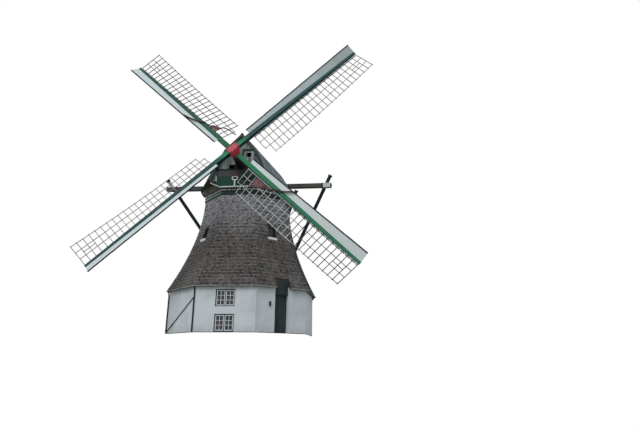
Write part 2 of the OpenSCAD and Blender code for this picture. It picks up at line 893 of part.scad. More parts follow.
function on_pole(z) = tail_foot + (tail_top - tail_foot) * (z - tail_foot_z) / (ring_top - tail_foot_z);

// A pair of braces from a cross beam down to the tail pole
module brace_pair(top, foot_z, over) {
    for (s = [-1, 1]) bar_between([s * top[0], top[1], top[2]], on_pole(foot_z), brace_s, over, 0);
}

module braces() {
    color("#16241f") difference() {
        union() {
            brace_pair([long_spruit_l / 2 - brace_in,
                long_spruit_y + long_spruit_s / 2 + brace_s + brace_gap, long_spruit_z],
                tail_foot_z + brace_foot, brace_over);
            brace_pair([short_spruit_l / 2 - short_brace_in,
                short_spruit_y + (short_spruit_s + brace_s) / 2, short_spruit_z],
                tail_foot_z + short_brace_foot, short_brace_over);
        }
        pole();
        spruit_beams();
    }
}

module winch() {
    z = tail_foot_z + winch_up;
    y = on_pole(z)[1];
    side = tail_s / 2;
    color("#16241f") {
        for (s = [-1, 1]) translate([s * (side + cheek_t / 2) - cheek_t / 2, y - cheek_in, z - cheek_h / 2])
            cube([cheek_t, cheek_l, cheek_h]);
        translate([-side - drum_over, y + drum_y, z]) rotate([0, 90, 0])
            cylinder(r = drum_r, h = 2 * (side + drum_over));
        for (a = [0, 90]) translate([side + drum_over - spoke_s, y + drum_y, z]) rotate([a, 0, 0])
            translate([-spoke_s / 2, -spoke_s / 2, -spoke_l / 2]) cube([spoke_s, spoke_s, spoke_l]);
    }
}

module windshaft() {
    back = (hub_y + tail_bearing_y) / cos(shaft_tilt) + shaft_over;
    front = outer_s + stock_d / 2 + poll_over + joint;
    cone_from = (hub_y - neck_y) / cos(shaft_tilt) + shaft_cone_y;
    color("#7a1f24") on_shaft() rotate([180, 0, 0]) {
        translate([0, 0, front]) cylinder(r = shaft_r, h = cone_from - front);
        translate([0, 0, cone_from]) cylinder(r1 = shaft_r, r2 = shaft_tail_r, h = shaft_cone_l);
        translate([0, 0, cone_from + shaft_cone_l])
            cylinder(r = shaft_tail_r, h = back - cone_from - shaft_cone_l);
    }
}

// A whole stock lies along X, with its depth along Z
module stock() {
    intersection() {
        linear_extrude(2 * stock_d, center = true)
            polygon([[-stock_l, -stock_tip_w / 2], [-core, -stock_w / 2], [core, -stock_w / 2],
                [stock_l, -stock_tip_w / 2], [stock_l, stock_tip_w / 2], [core, stock_w / 2],
                [-core, stock_w / 2], [-stock_l, stock_tip_w / 2]]);
        rotate([90, 0, 0]) linear_extrude(2 * stock_w, center = true)
            polygon([[-stock_l, -stock_tip_d / 2], [-core, -stock_d / 2], [core, -stock_d / 2],
                [stock_l, -stock_tip_d / 2], [stock_l, stock_tip_d / 2], [core, stock_d / 2],
                [-core, stock_d / 2], [-stock_l, stock_tip_d / 2]]);
    }
}

module outer_stock() { color("seagreen") on_sail(0) translate([0, 0, outer_s]) stock(); }
module inner_stock() { color("seagreen") on_sail(1) translate([0, 0, -outer_s]) stock(); }

module poll_end() {
    depth = outer_s + stock_d / 2 + poll_over;
    color("crimson") difference() {
        on_sail(0) {
            translate([-poll_long / 2, -poll_short / 2, -eps]) cube([poll_long, poll_short, depth + eps]);
            translate([-poll_short / 2, -poll_long / 2, -depth]) cube([poll_short, poll_long, depth]);
        }
        on_sail(0) translate([0, 0, outer_s]) stock();
        on_sail(1) translate([0, 0, -outer_s]) stock();
    }
}

// How far the lattice's outer edge lies back at a radius
function weather(r) = weather_in
    + (weather_tip - weather_in) * pow((r - lattice_in) / (stock_l - lattice_in), weather_bend);
// Slope of the lattice across the sail at a radius, and how far back it lies at a share of its width
function slope(r) = atan2(weather(r) - bar_back, lattice_w);
function depth(r, share) = bar_back + share * (weather(r) - bar_back);
function bar_r(i) = lattice_in + i * bar_pitch;
// Half width and half depth of a stock at a radius
function stock_half(hub, tip, r) = (hub + (tip - hub) * (r - core) / (stock_l - core)) / 2;

module lattice_bar(r, share) {
    l = share * lattice_w / cos(slope(r)) + bar_over;
    translate([r, 0, -bar_back]) rotate([slope(r), 0, 0])
        translate([-bar_w / 2, -l, -bar_t / 2]) cube([bar_w, l, bar_t]);
}

// One straight length of lath between two radii
module lath_length(share, r1, r2) {
    rise = depth(r1, share) - depth(r2, share);
    translate([r1, -share * lattice_w, -depth(r1, share)]) rotate([0, -atan2(rise, r2 - r1), 0])
        rotate([slope((r1 + r2) / 2), 0, 0])
            translate([-lath_w / 2, -lath_w / 2, -lath_t / 2])
                cube([norm([rise, r2 - r1]) + lath_w, lath_w, lath_t]);
}

module lattice_lath(share, first) {
    last = bar_count - 1;
    for (i = [first:lath_bars:last - 1])
        lath_length(share, bar_r(i), bar_r(min(i + lath_bars, last)));
}

// The innermost bar stops at the second lath, and a short lath stiffens the tip
module sail_lattice(k) {
    tip_share = (lath_shares[0] + lath_shares[1]) / 2;
    color("gainsboro") on_sail(k) translate([0, 0, k % 2 == 0 ? outer_s : -outer_s]) difference() {
        union() {
            for (i = [0:bar_count - 1]) lattice_bar(bar_r(i), i == 0 ? lath_shares[1] : 1);
            for (j = [0:2]) lattice_lath(lath_shares[j], j < 2 ? 0 : 1);
            lath_length(tip_share, bar_r(bar_count - 4), bar_r(bar_count - 2));
        }
        stock();
    }
}

module sail_lattice_1() { sail_lattice(0); }
module sail_lattice_2() { sail_lattice(1); }
module sail_lattice_3() { sail_lattice(2); }
module sail_lattice_4() { sail_lattice(3); }

// Outer edge of the windboards at a radius, as distance from the stock's middle and rise
function board_share(r) = (r - board_in) / (stock_l - board_in);
function board_edge(r) = [board_w_in + (board_w_tip - board_w_in) * board_share(r),
    board_rise_in + (board_rise_tip - board_rise_in) * board_share(r)];
// Seat of the windboards in the stock's front edge
function board_seat(r) = [stock_half(stock_w, stock_tip_w, r) - board_t,
    stock_half(stock_d, stock_tip_d, r) - 1.5 * board_t];

function board_mid(i) = board_in + (i + 0.5) * board_l;
function board_across(i) = board_edge(board_mid(i)) - board_seat(board_mid(i));

// Places children in the plane of one length of windboard, with its outer edge along X
module on_board(i) {
    seat = board_seat(board_mid(i));
    across = board_across(i);
    taper = (board_w_tip - board_w_in) / board_n;
    translate([board_in + i * board_l, seat[0], seat[1]]) rotate([atan2(across[1], across[0]), 0, 0])
        translate([0, norm(across) - taper / 2, 0]) rotate([0, 0, atan2(taper, board_l)]) children();
}

module each_sail() {
    for (k = [0:3]) on_sail(k) translate([0, 0, k % 2 == 0 ? outer_s : -outer_s]) children();
}

module windboards() {
    color("lightgray") each_sail() difference() {
        for (i = [0:board_n - 1]) on_board(i) {
            inside = norm(board_across(i)) + 2 * board_t;
            translate([joint, -inside, -board_t / 2]) cube([board_l - 2 * joint, inside - joint, board_t]);
        }
        stock();
    }
}

module windboard_edges() {
    color("#333333") each_sail() for (i = [0:board_n - 1])
        on_board(i) translate([joint, 0, -edge_t / 2]) cube([board_l - 2 * joint, edge_w, edge_t]);
}

// Eight-sided roll of cloth between two points
module roll(a, b) {
    d = b - a;
    l = norm(d);
    translate(a) rotate([0, acos(d[2] / l), atan2(d[1], d[0])])
        translate([0, 0, -cloth_r / 4]) rotate(22.5) cylinder(r = cloth_r, h = l + cloth_r / 2, $fn = 8);
}

// Cloth rolled up over windboard and stock, ending in a flap on the lattice
module furled_cloth() {
    over_edge = bar_r(8);
    over_stock = bar_r(6);
    off_stock = bar_r(5);
    tip = bar_r(2);
    lift = stock_half(stock_d, stock_tip_d, over_stock) + cloth_r - cloth_r / 3;
    side = stock_half(stock_w, stock_tip_w, over_stock);
    edge = board_edge(over_edge);
    path = [[over_edge, edge[0], edge[1] + edge_t / 2 + cloth_r * 5 / 6], [over_stock, side, lift],
        [off_stock, -side, lift - cloth_r / 3], [bar_r(4), -side - roll_drop, -cloth_r / 3]];
    difference() {
        union() {
            for (i = [0:2]) roll(path[i], path[i + 1]);
            translate([0, 0, -bar_back]) rotate([slope(bar_r(3)), 0, 0])
                translate([0, 0, bar_t / 2 + flap_gap]) linear_extrude(flap_t)
                    polygon([[off_stock, -side - cloth_r / 3], [tip - flap_in, -side - flap_in],
                        [tip - cloth_r, -side - flap_l]]);
        }
        stock();
    }
}

module furled_cloths() {
    color("#7d5a52") difference() {
        for (k = [1, 3]) on_sail(k) translate([0, 0, -outer_s]) furled_cloth();
        windboards();
        windboard_edges();
    }
}

wall_front();
wall_back();
wall_doorway();
walls_sides();
walls_diagonal();
floors();
sole_plate();
smock_front_back();
smock_door_side();
smock_sides();
smock_left_side();
curb_band();
curb_blocks();
window_frames();
window_sashes();
window_glass();
door_frame();
door_leaf();
door_head();
loft_windows();
eave_brackets();
downpipes();
cap_roof_left();
cap_roof_right();
front_gable();
rear_gable();
barge_boards();
name_board();
front_boards();
valance();
ornament();
cap_skirt();
cap_ring();
sheers();
shaft_bearings();
spruits();
tail_pole();
braces();
winch();
windshaft();
poll_end();
outer_stock();
inner_stock();
sail_lattice_1();
sail_lattice_2();
sail_lattice_3();
sail_lattice_4();
windboards();
windboard_edges();
furled_cloths();
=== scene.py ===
# %% [markdown]
# # A smock windmill, dressed step by step
# The carpenter's model, with every wall, beam and bar at its real size, is already there: it is
# loaded as a fixed frame, in metres, with +Z up and the mill's front towards -Y. This lesson
# gives it its skin: shingles, limewash, painted timber, glass, cloth and the small fittings that
# are too fine for the carpenter's model.

# %% Load the carpenter's model
from math import cos, hypot, pi, radians, sin, tan
from random import gauss, random, seed, uniform

import bmesh
import bpy
from mathutils import Matrix, Vector


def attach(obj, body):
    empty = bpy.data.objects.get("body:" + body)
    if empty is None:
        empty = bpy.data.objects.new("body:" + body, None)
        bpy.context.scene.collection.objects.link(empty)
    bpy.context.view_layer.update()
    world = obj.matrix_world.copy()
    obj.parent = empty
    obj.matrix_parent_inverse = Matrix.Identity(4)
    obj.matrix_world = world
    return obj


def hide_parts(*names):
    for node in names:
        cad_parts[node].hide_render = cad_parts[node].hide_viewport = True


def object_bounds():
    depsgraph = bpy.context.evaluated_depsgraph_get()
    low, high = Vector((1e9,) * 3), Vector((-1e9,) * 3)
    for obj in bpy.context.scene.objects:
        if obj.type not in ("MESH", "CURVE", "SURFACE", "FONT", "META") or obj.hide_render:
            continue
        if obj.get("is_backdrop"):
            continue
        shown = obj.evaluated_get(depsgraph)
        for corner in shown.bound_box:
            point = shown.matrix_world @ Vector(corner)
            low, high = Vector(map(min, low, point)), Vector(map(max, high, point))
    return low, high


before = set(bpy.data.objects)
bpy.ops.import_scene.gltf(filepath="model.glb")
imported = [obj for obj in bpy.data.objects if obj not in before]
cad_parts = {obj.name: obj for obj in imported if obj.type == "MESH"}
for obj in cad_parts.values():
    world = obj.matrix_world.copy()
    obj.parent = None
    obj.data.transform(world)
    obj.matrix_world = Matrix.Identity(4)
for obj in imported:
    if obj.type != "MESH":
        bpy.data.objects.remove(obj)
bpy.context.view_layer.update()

# %% [markdown]
# ## Where the eye stands
# The eye stands low, well to the right of the mill, and looks up. A camera in Blender looks along
# its own -Z axis with +Y up, so three turns set it: heading, pitch and a touch of roll. The lens
# is worked out from a focal length in pixels of a picture 640 wide, on Blender's usual 36 mm
# sensor.

# %% Camera
def at(x, y, z):
    return Vector((x, y, z))


EYE = at(8.478, -33.365, -1.197)
HEADING, PITCH, ROLL = 5.415, 16.335, 0.313
FOCAL_PX, PICTURE_W, SENSOR = 480.5, 640, 36.0

SCENE = bpy.context.scene


def add(name, data):
    """Puts a camera, a lamp or a mesh into the scene."""
    made = bpy.data.objects.new(name, data)
    SCENE.collection.objects.link(made)
    return made


camera = add("camera", bpy.data.cameras.new("camera"))
camera.data.sensor_width = SENSOR
camera.data.lens = FOCAL_PX / PICTURE_W * SENSOR
camera.data.clip_start, camera.data.clip_end = 0.5, 400
camera.matrix_world = (Matrix.Translation(EYE) @ Matrix.Rotation(radians(HEADING), 4, "Z")
                       @ Matrix.Rotation(radians(90 + PITCH), 4, "X")
                       @ Matrix.Rotation(radians(ROLL), 4, "Z"))
SCENE.camera = camera
print("camera lens", round(camera.data.lens, 2), "mm at", tuple(EYE))

# %% [markdown]
# ## Sums on surfaces
# A procedural finish is a sum of simple patterns: noise for dirt, a gradient for damp, a random
# shade for each shingle. Blender writes such sums as chains of Math nodes, which soon become hard
# to read. Here a small class wraps a socket, so that a sum is written as plain arithmetic and
# puts its Math nodes in by itself. Colours never go through Math nodes, which would turn them
# grey: they are mixed.

# %% Values and finishes
class Value:
    """A number that varies over a surface."""

    def __init__(self, owner, socket):
        self.owner, self.socket = owner, socket

    def reckon(self, operation, first, second, clamp=False):
        return self.owner.value("Math", (first, second), operation=operation, use_clamp=clamp)

    def __add__(self, other): return self.reckon("ADD", self, other)
    __radd__ = __add__
    def __sub__(self, other): return self.reckon("SUBTRACT", self, other)
    def __rsub__(self, other): return self.reckon("SUBTRACT", other, self)
    def __mul__(self, other): return self.reckon("MULTIPLY", self, other)
    __rmul__ = __mul__
    def __mod__(self, other): return self.reckon("FLOORED_MODULO", self, other)

    def ramp(self, low, high):
        """0 up to low, 1 from high, and straight in between."""
        return self.reckon("MULTIPLY", self - low, 1 / (high - low), clamp=True)


class Nodes:
    def __init__(self, tree):
        self.tree = tree

    def node(self, kind, sockets=(), **settings):
        """Adds a node, with values or links for its sockets."""
        made = self.tree.nodes.new("ShaderNode" + kind)
        for key, value in settings.items():
            setattr(made, key, value)
        for key, value in sockets.items() if isinstance(sockets, dict) else enumerate(sockets):
            self.feed(made.inputs[key], value)
        return made

    def value(self, kind, sockets=(), output=0, **settings):
        return Value(self, self.node(kind, sockets, **settings).outputs[output])

    def feed(self, socket, value):
        if isinstance(value, Value):
            value = value.socket
        if isinstance(value, bpy.types.NodeSocket):
            self.tree.links.new(value, socket)
        else:
            socket.default_value = value

    def show(self, amount, first, second, output="Material Output"):
        """Shows one shader where the amount is 0 and another where it is 1."""
        either = self.value("MixShader", (amount, first.outputs[0], second.outputs[0]))
        self.feed(self.tree.nodes[output].inputs["Surface"], either)


class Finish(Nodes):
    """A material: its Principled shader and the nodes that feed it."""

    def __init__(self, name, **fixed):
        self.material = bpy.data.materials.new(name)
        self.material.use_nodes = True
        super().__init__(self.material.node_tree)
        self.shader = self.tree.nodes["Principled BSDF"]
        for socket, value in fixed.items():
            self.shader.inputs[socket.replace("_", " ")].default_value = value
        self.place = self.node("TexCoord").outputs["Object"]
        parts = self.node("SeparateXYZ", (self.place,)).outputs
        self.x, self.y, self.z = (Value(self, socket) for socket in parts)

    def noise(self, size, offset, stretch=(1, 1, 1), detail=5):
        """Cloudy noise around 0.5 whose patches are about size metres wide."""
        moved = self.value("Mapping", {"Vector": self.place, "Scale": stretch,
                                       "Location": (offset, offset * 0.7, offset * 1.3)})
        return self.value("TexNoise", {"Vector": moved, "Scale": 1 / size, "Detail": detail,
                                       "Roughness": 0.6})

    def shade(self):
        """The shade that each small piece was given when it was made."""
        return self.value("Attribute", output="Fac", attribute_name="shade")

    def facing(self, axis):
        """How far a face looks along an axis: 1 straight along it, 0 across it."""
        normal = self.node("TexCoord").outputs["Normal"]
        return self.value("VectorMath", (normal, axis), "Value", operation="DOT_PRODUCT")

    def mix(self, amount, low, high):
        """A blend of two colours, each a link or three numbers from 0 to 255."""
        low, high = (rgb(*c) if isinstance(c, tuple) and len(c) == 3 else c for c in (low, high))
        return self.node("Mix", {0: amount, 6: low, 7: high}, data_type="RGBA").outputs[2]

    def coats(self, colour, *coats):
        """Lays coats over a colour, each an amount and a colour."""
        for amount, coat in coats:
            colour = self.mix(amount, colour, coat)
        return colour

    def paint(self, colour, roughness, height, depth, strength=0.5):
        """Feeds colour, roughness and a bump of a depth in metres."""
        bump = self.value("Bump", {"Strength": strength, "Distance": depth, "Height": height})
        for key, value in (("Base Color", colour), ("Roughness", roughness), ("Normal", bump)):
            self.feed(self.shader.inputs[key], value)
        print("finish", self.material.name)
        return self.material


def rgb(red, green, blue):
    """A colour from 0 to 255 in Blender's linear scale."""
    return (*((c / 255 / 12.92) if c < 10.3 else ((c / 255 + 0.055) / 1.055) ** 2.4
              for c in (red, green, blue)), 1)


print("white of the limewash", tuple(round(c, 3) for c in rgb(207, 214, 218)))

# %% [markdown]
# ## Limewashed brick
# The base is brick under many coats of limewash. The wash softens the joints but never hides
# them, rain washes green algae down from the wet eaves, and the foot splashes grey. An image
# could not follow eight walls without seams, so courses, blotches and algae are patterns in
# space, which run on round the corners.

# %% Limewash
BRICK_COURSE = 0.075
wash = Finish("limewash", Roughness=0.9)
wide, fine = wash.noise(1.4, 3), wash.noise(0.12, 9)
streaks = wash.noise(0.3, 5, (1, 1, 0.12), detail=4).ramp(0.42, 0.68)
under_eaves, foot = wash.z.ramp(1.9, 2.75), 1 - wash.z.ramp(0.0, 0.55)
green = streaks * under_eaves + wide.ramp(0.55, 0.8) * 0.35
dirt = foot * fine.ramp(0.35, 0.6) * 0.8 + wide.ramp(0.5, 0.75) * 0.25
colour = wash.coats((222, 228, 232), (wide.ramp(0.3, 0.7), (207, 214, 218)),
                    (green * 0.5, (164, 172, 150)), (dirt * 0.6, (150, 151, 142)))
course = (wash.z * (1 / BRICK_COURSE)) % 1.0
joints = course.ramp(0.0, 0.1) * (1 - course.ramp(0.9, 1.0))
LIMEWASH = wash.paint(colour, 0.85 + fine * 0.1, joints * 0.5 + fine * 0.6, 0.006)

# %% [markdown]
# ## Weathered and painted timber
# Almost all else is timber: bare boards gone silver-grey, boards under old paint, beams under
# tar. One recipe serves them all. Grain is noise stretched along the wood, each board has its own
# shade, paint lets the boards show where it wears thin, and moss settles on what stays damp. The
# recipe takes the wood's direction as a stretch of the noise.

# %% Timber
UPRIGHT, ALONG_X, ANYWAY = (1, 1, 0.06), (0.06, 1, 1), (1, 1, 1)  # how the grain is stretched
MOSS = (96, 100, 58)


def timber(name, light, dark, grain=UPRIGHT, moss=0.0, gloss=0.75, worn=None):
    """worn is how far the paint has gone and the colour beneath it."""
    wood = Finish(name, Specular_IOR_Level=0.25)
    fibres, patches = wood.noise(0.05, 2, grain, detail=6), wood.noise(0.8, 7)
    spread = (fibres - 0.5) * 0.9 + (patches - 0.5) * 0.7 + wood.shade() * 0.6 + 0.3
    colour = wood.mix(spread.ramp(0.05, 0.95), dark, light)
    if worn:
        thin = (fibres * 0.6 + patches * 0.7).ramp(0.66, 0.82)
        colour = wood.mix(thin * worn[0], colour, worn[1])
    if moss:
        damp = wood.noise(0.22, 13, detail=6).ramp(0.48, 0.7)
        colour = wood.mix(damp * moss, colour, MOSS)
    return wood.paint(colour, gloss + (fibres - 0.5) * 0.25, fibres, 0.004)


GREY_BOARDS = timber("grey boards", (138, 143, 140), (58, 66, 64), moss=0.25)
MOSSY_BOARDS = timber("mossy boards", (122, 128, 112), (44, 48, 42), moss=0.7)
ROOF_BOARDS = timber("roof boards", (136, 144, 152), (84, 92, 98), ANYWAY, gloss=0.8)
BEAM = timber("weathered beam", (120, 122, 114), (50, 54, 50), ALONG_X, moss=0.25)
INSIDE = timber("inside timber", (130, 108, 82), (84, 66, 48), ANYWAY)
# painted shade: timber inside the cap is coloured darker than the wood is
SHADED_TIMBER = timber("timber with painted shade", (64, 60, 54), (36, 34, 32), ANYWAY)
FRONT_GREEN = timber("front paint", (8, 92, 62), (4, 54, 38), gloss=0.6, worn=(0.1, (50, 80, 66)))
FRONT_BOARDS = timber("front gable boards", (164, 174, 174), (60, 72, 72), moss=0.2)
BARGE_GREY = timber("barge boards", (112, 118, 116), (48, 54, 54), ANYWAY, moss=0.2)
DEEP_GREEN = timber("deep green paint", (22, 56, 46), (8, 28, 22), gloss=0.6)
SIDE_GREEN = timber("side panel paint", (122, 152, 138), (84, 110, 100), gloss=0.7,
                    worn=(0.4, (130, 136, 128)))
BRACE_PAINT = timber("brace paint", (44, 66, 78), (18, 34, 42), ANYWAY, gloss=0.6)
NAME_GREEN = timber("name board paint", (46, 60, 56), (24, 36, 34), ALONG_X, gloss=0.5,
                    worn=(0.3, (86, 94, 92)))
TARRED = timber("tarred timber", (38, 50, 48), (16, 24, 24), ANYWAY, gloss=0.6)
DOOR_PAINT = timber("door paint", (56, 66, 68), (30, 38, 40), gloss=0.55, worn=(0.2, (80, 84, 82)))
WHITE_PAINT = timber("white paint", (226, 231, 230), (178, 186, 184), ANYWAY, gloss=0.5,
                     worn=(0.35, (140, 146, 138)))
FRESH_WHITE = timber("fresh white paint", (246, 250, 252), (226, 232, 234), ANYWAY, gloss=0.5,
                     worn=(0.12, (150, 156, 150)))
BOARD_EDGE = timber("dark edging", (24, 31, 34), (10, 14, 17), ANYWAY, gloss=0.7)

# %% [markdown]
# ## Paint that weathers by place
# The two stocks were painted at different times: the outer one has chalked to a blue-green, the
# inner one is still a fresh green, and both are freshest near the hub, where the sails shelter
# them. The windboards are white, and the last lengths of a sail have gone greener. Both changes
# follow the distance from the hub, so the finish measures it. The bars get painted light on the
# faces turned forward and painted shade on the others, and the band under the cap gets painted
# shadow of the skirt except on its chalked left side, so those two finishes ask for the surface's
# direction and for its place.

# %% Paint of the sails and the band
HUB, SHAFT_TILT, SAIL_TURN = at(0, -4.64, 11.68), 12, 45.54
SHAFT_AXIS = (0, -cos(radians(SHAFT_TILT)), sin(radians(SHAFT_TILT)))


def from_hub(finish):
    away = finish.value("VectorMath", (finish.place, tuple(HUB)), operation="SUBTRACT")
    return finish.value("VectorMath", (away,), "Value", operation="LENGTH")


def stock_paint(name, near, far, chalky, fresh):
    """Green paint, chalky away from the hub, with painted shade on the undersides."""
    paint = Finish(name, Specular_IOR_Level=0.2)
    reach = from_hub(paint)
    fibres, patches = paint.noise(0.06, 3), paint.noise(0.7, 12)
    # painted shade: faces that look down are mixed towards a near-black green
    painted_shade_below = paint.facing((0, 0, -1)).ramp(0.2, 0.6) * (0.85 - reach.ramp(1.5, 4.0) * 0.5)
    colour = paint.coats(
        near, (reach.ramp(0.7, chalky), far),
        (patches.ramp(0.35, 0.7) * 0.5, tuple(0.75 * c for c in far)),
        ((fibres + patches).ramp(1.08, 1.3) * 0.5, (116, 132, 124)),
        (paint.x.ramp(-1.0, 1.0) * fresh, (44, 150, 102)), (painted_shade_below, (6, 30, 24)))
    return paint.paint(colour, 0.55 + (patches - 0.5) * 0.3, fibres, 0.003, 0.4)


# White paint, darker on the upper right, brightened with painted light on the lower right, and
# greener on the last lengths
paint = Finish("sail board paint", Specular_IOR_Level=0.3)
reach = from_hub(paint)
fibres, patches = paint.noise(0.05, 6), paint.noise(0.6, 16)
on_right, high = paint.x.ramp(-0.3, 0.3), paint.z.ramp(11.0, 12.0)
right = on_right * high
last = (reach.ramp(8.1, 8.3) * 0.3 + reach.ramp(9.8, 9.9) * 0.25) * (right * 0.9 + 0.1)
colour = paint.coats(
    (198, 212, 213), ((patches - 0.5) * 0.8 + 0.5, (218, 228, 230)),
    (right * 0.8, (184, 197, 199)), (last, (158, 174, 164)),
    # painted light: boards on the lower right are mixed towards a brighter white
    (on_right * (1 - high) * 0.6, (236, 242, 240)),
    ((fibres + patches).ramp(1.1, 1.35) * 0.5, (140, 150, 144)))
SAILBOARD = paint.paint(colour, 0.6 + (fibres - 0.5) * 0.2, fibres, 0.003, 0.4)

# Bars with painted light on the faces turned forward and painted shade on their other faces,
# lighter to the right, darker higher up, and with painted shade far out on the low right
bars = Finish("sail bars", Roughness=0.8, Specular_IOR_Level=0.2)
patches = bars.noise(0.25, 17)
on_right, high = bars.x.ramp(-0.5, 0.5), bars.z.ramp(11.0, 12.4)
# painted shade on the bars far out to the right on the lower sails
painted_shade_far_right = bars.x.ramp(3.9, 4.3) * (1 - high) * 0.95
front_tone_and_painted_shade = (0.5 + (on_right - high) * 0.5) * (1 - painted_shade_far_right)
light = bars.mix(patches.ramp(0.35, 0.65),
                 bars.mix(front_tone_and_painted_shade, (44, 50, 53), (166, 170, 167)),
                 bars.mix(front_tone_and_painted_shade, (70, 76, 78), (216, 219, 215)))
# painted shade: every face not turned forward takes this dark colour
dark = bars.mix(patches, (30, 36, 40), (66, 74, 76))
colour = bars.mix(bars.facing(SHAFT_AXIS).ramp(0.5, 0.8), dark, light)
SAIL_BARS = bars.paint(colour, 0.75 + (patches - 0.5) * 0.2, patches, 0.003, 0.4)

# Green paint, darkened with painted shadow of the skirt, and chalked pale on the left
band = Finish("band paint", Specular_IOR_Level=0.3)
fibres, patches = band.noise(0.05, 6, (1, 1, 0.3)), band.noise(0.5, 15)
# painted shadow: the dark green stands for the skirt's shadow on the band
green = band.mix(patches.ramp(0.35, 0.65), (18, 40, 34), (44, 74, 62))
pale = band.mix(fibres.ramp(0.35, 0.65), (92, 118, 108), (150, 170, 160))
colour = band.mix((0 - band.x).ramp(1.0, 1.6) * 0.8, green, pale)
BAND_GREEN = band.paint(colour, 0.65 + (patches - 0.5) * 0.3, fibres, 0.003, 0.4)

OUTER_GREEN = stock_paint("outer stock paint", (36, 136, 90), (33, 75, 77), 1.6, 0.0)
INNER_GREEN = stock_paint("inner stock paint", (28, 102, 68), (30, 78, 66), 6.0, 0.4)

# %% [markdown]
# ## Iron, red lead and glass
# The poll end is cast iron under bright red paint, with a painted highlight on its low right
# side. The shaft behind it, straps and pipes are near black. Window glass is a smooth pane that
# shows the sky, coloured dark with the painted shade of the room behind it, and the small panes
# of the smock are grey with a painted reflection of the sky. Rain leaves each of them slightly
# uneven, so roughness gets its own noise, which catches the light in patches.

# %% Iron and glass
# painted highlight: faces that look this way are mixed towards a brighter red
PAINTED_HIGHLIGHT_SIDE = (0.8, 0, -0.6)  # the low right side of the poll end, which looks brightest


def iron(name, light, dark, rough=0.5, painted_highlight=None):
    cast = Finish(name, Specular_IOR_Level=0.3)
    pits, patches = cast.noise(0.03, 4, detail=4), cast.noise(0.35, 8)
    colour = cast.mix((patches * 0.8 + pits * 0.4).ramp(0.4, 0.8), dark, light)
    if painted_highlight:
        colour = cast.mix(cast.facing(PAINTED_HIGHLIGHT_SIDE).ramp(0.2, 0.9) * 0.6, colour, painted_highlight)
    return cast.paint(colour, rough + (patches - 0.5) * 0.4, pits, 0.002, 0.3)


POLL_RED = iron("poll end red", (206, 74, 84), (158, 38, 52), 0.4, painted_highlight=(255, 92, 120))
SHAFT_IRON = iron("shaft iron", (44, 40, 42), (20, 20, 22))
BLACK_IRON = iron("black iron", (34, 40, 44), (14, 17, 20))
DARK_RED = iron("dark red paint", (140, 34, 52), (78, 18, 30))

pane = Finish("window glass", IOR=1.5)
ripple = pane.noise(0.4, 6, detail=2)
# painted shade: the glass is coloured as dark as the room behind it
painted_dark_room = pane.mix(ripple.ramp(0.35, 0.65), (12, 16, 20), (52, 58, 64))
GLASS = pane.paint(painted_dark_room, 0.06 + ripple * 0.05, ripple, 0.004, 0.2)
# painted reflection: the smock's panes are coloured grey like the sky they mirror
PAINTED_REFLECTION_GLASS = iron("glass with painted sky reflection", (104, 100, 102), (66, 62, 62), 0.35)

# %% [markdown]
# ## Shingle and cloth
# Oak shingles weather one by one, so each carries its own shade, laid over broad patches: paler
# and greyer near the top where wind dries the wood, browner lower down, and with lichen on the
# lowest ends. The furled sailcloth is tanned canvas: a fine weave in two directions, faded in
# patches, and darker where it is wound up tight.

# %% Shingle and cloth
oak = Finish("oak shingles")
fibres = oak.noise(0.03, 1, (1, 1, 0.1))
broad = oak.noise(1.4, 21, (1, 1, 0.4))
small = oak.noise(0.3, 31, detail=4)
high, own = oak.z.ramp(6.0, 8.8), oak.shade()
grey = own * 0.75 + (broad - 0.5) * 0.8 + (fibres - 0.5) * 0.4 + high * 0.25 + 0.1
rust = oak.noise(0.9, 41, (1, 1, 0.5)).ramp(0.5, 0.65) * (1 - high) * own * 0.8
# painted shadow: butt faces, given a shade below zero, turn nearly black
painted_butt_shadow, eaves = own.ramp(-0.1, -0.3), 1 - oak.z.ramp(2.75, 2.8)
colour = oak.coats(
    (34, 31, 30), (grey.ramp(0.1, 1.0), (124, 120, 116)),
    (rust * (oak.z.ramp(3.0, 4.6) * 0.7 + 0.3), (94, 79, 62)),
    (high * own, (180, 181, 188)),
    ((small.ramp(0.55, 0.75) * (1 - high)) * 0.25, (74, 76, 56)), (painted_butt_shadow, (12, 11, 11)),
    (eaves * (small.ramp(0.4, 0.55) * 0.6 + 0.3), (160, 170, 154)))
SHINGLE = oak.paint(colour, 0.85 + (fibres - 0.5) * 0.2, fibres, 0.003)

canvas = Finish("tanned sailcloth", Roughness=0.9, Sheen_Weight=0.15)
warp = canvas.noise(0.012, 2, (1, 1, 0.1), detail=2)
weft = canvas.noise(0.012, 5, (0.1, 1, 1), detail=2)
faded = canvas.noise(0.25, 9, detail=4).ramp(0.35, 0.7)
# darker where the cloth is wound up into the rope
wound = canvas.mix(faded, (46, 34, 34), (84, 60, 56))
spread = canvas.mix(faded, (112, 82, 80), (162, 126, 122))
SAILCLOTH = canvas.paint(canvas.mix(canvas.shade(), wound, spread), 0.9, warp + weft, 0.003, 0.6)

# %% [markdown]
# ## A finish for every part of the frame
# The carpenter's model keeps its shape and only changes its material. A table from finish to
# parts is easier to check than a long list of calls, and it shows at once if a part was missed.

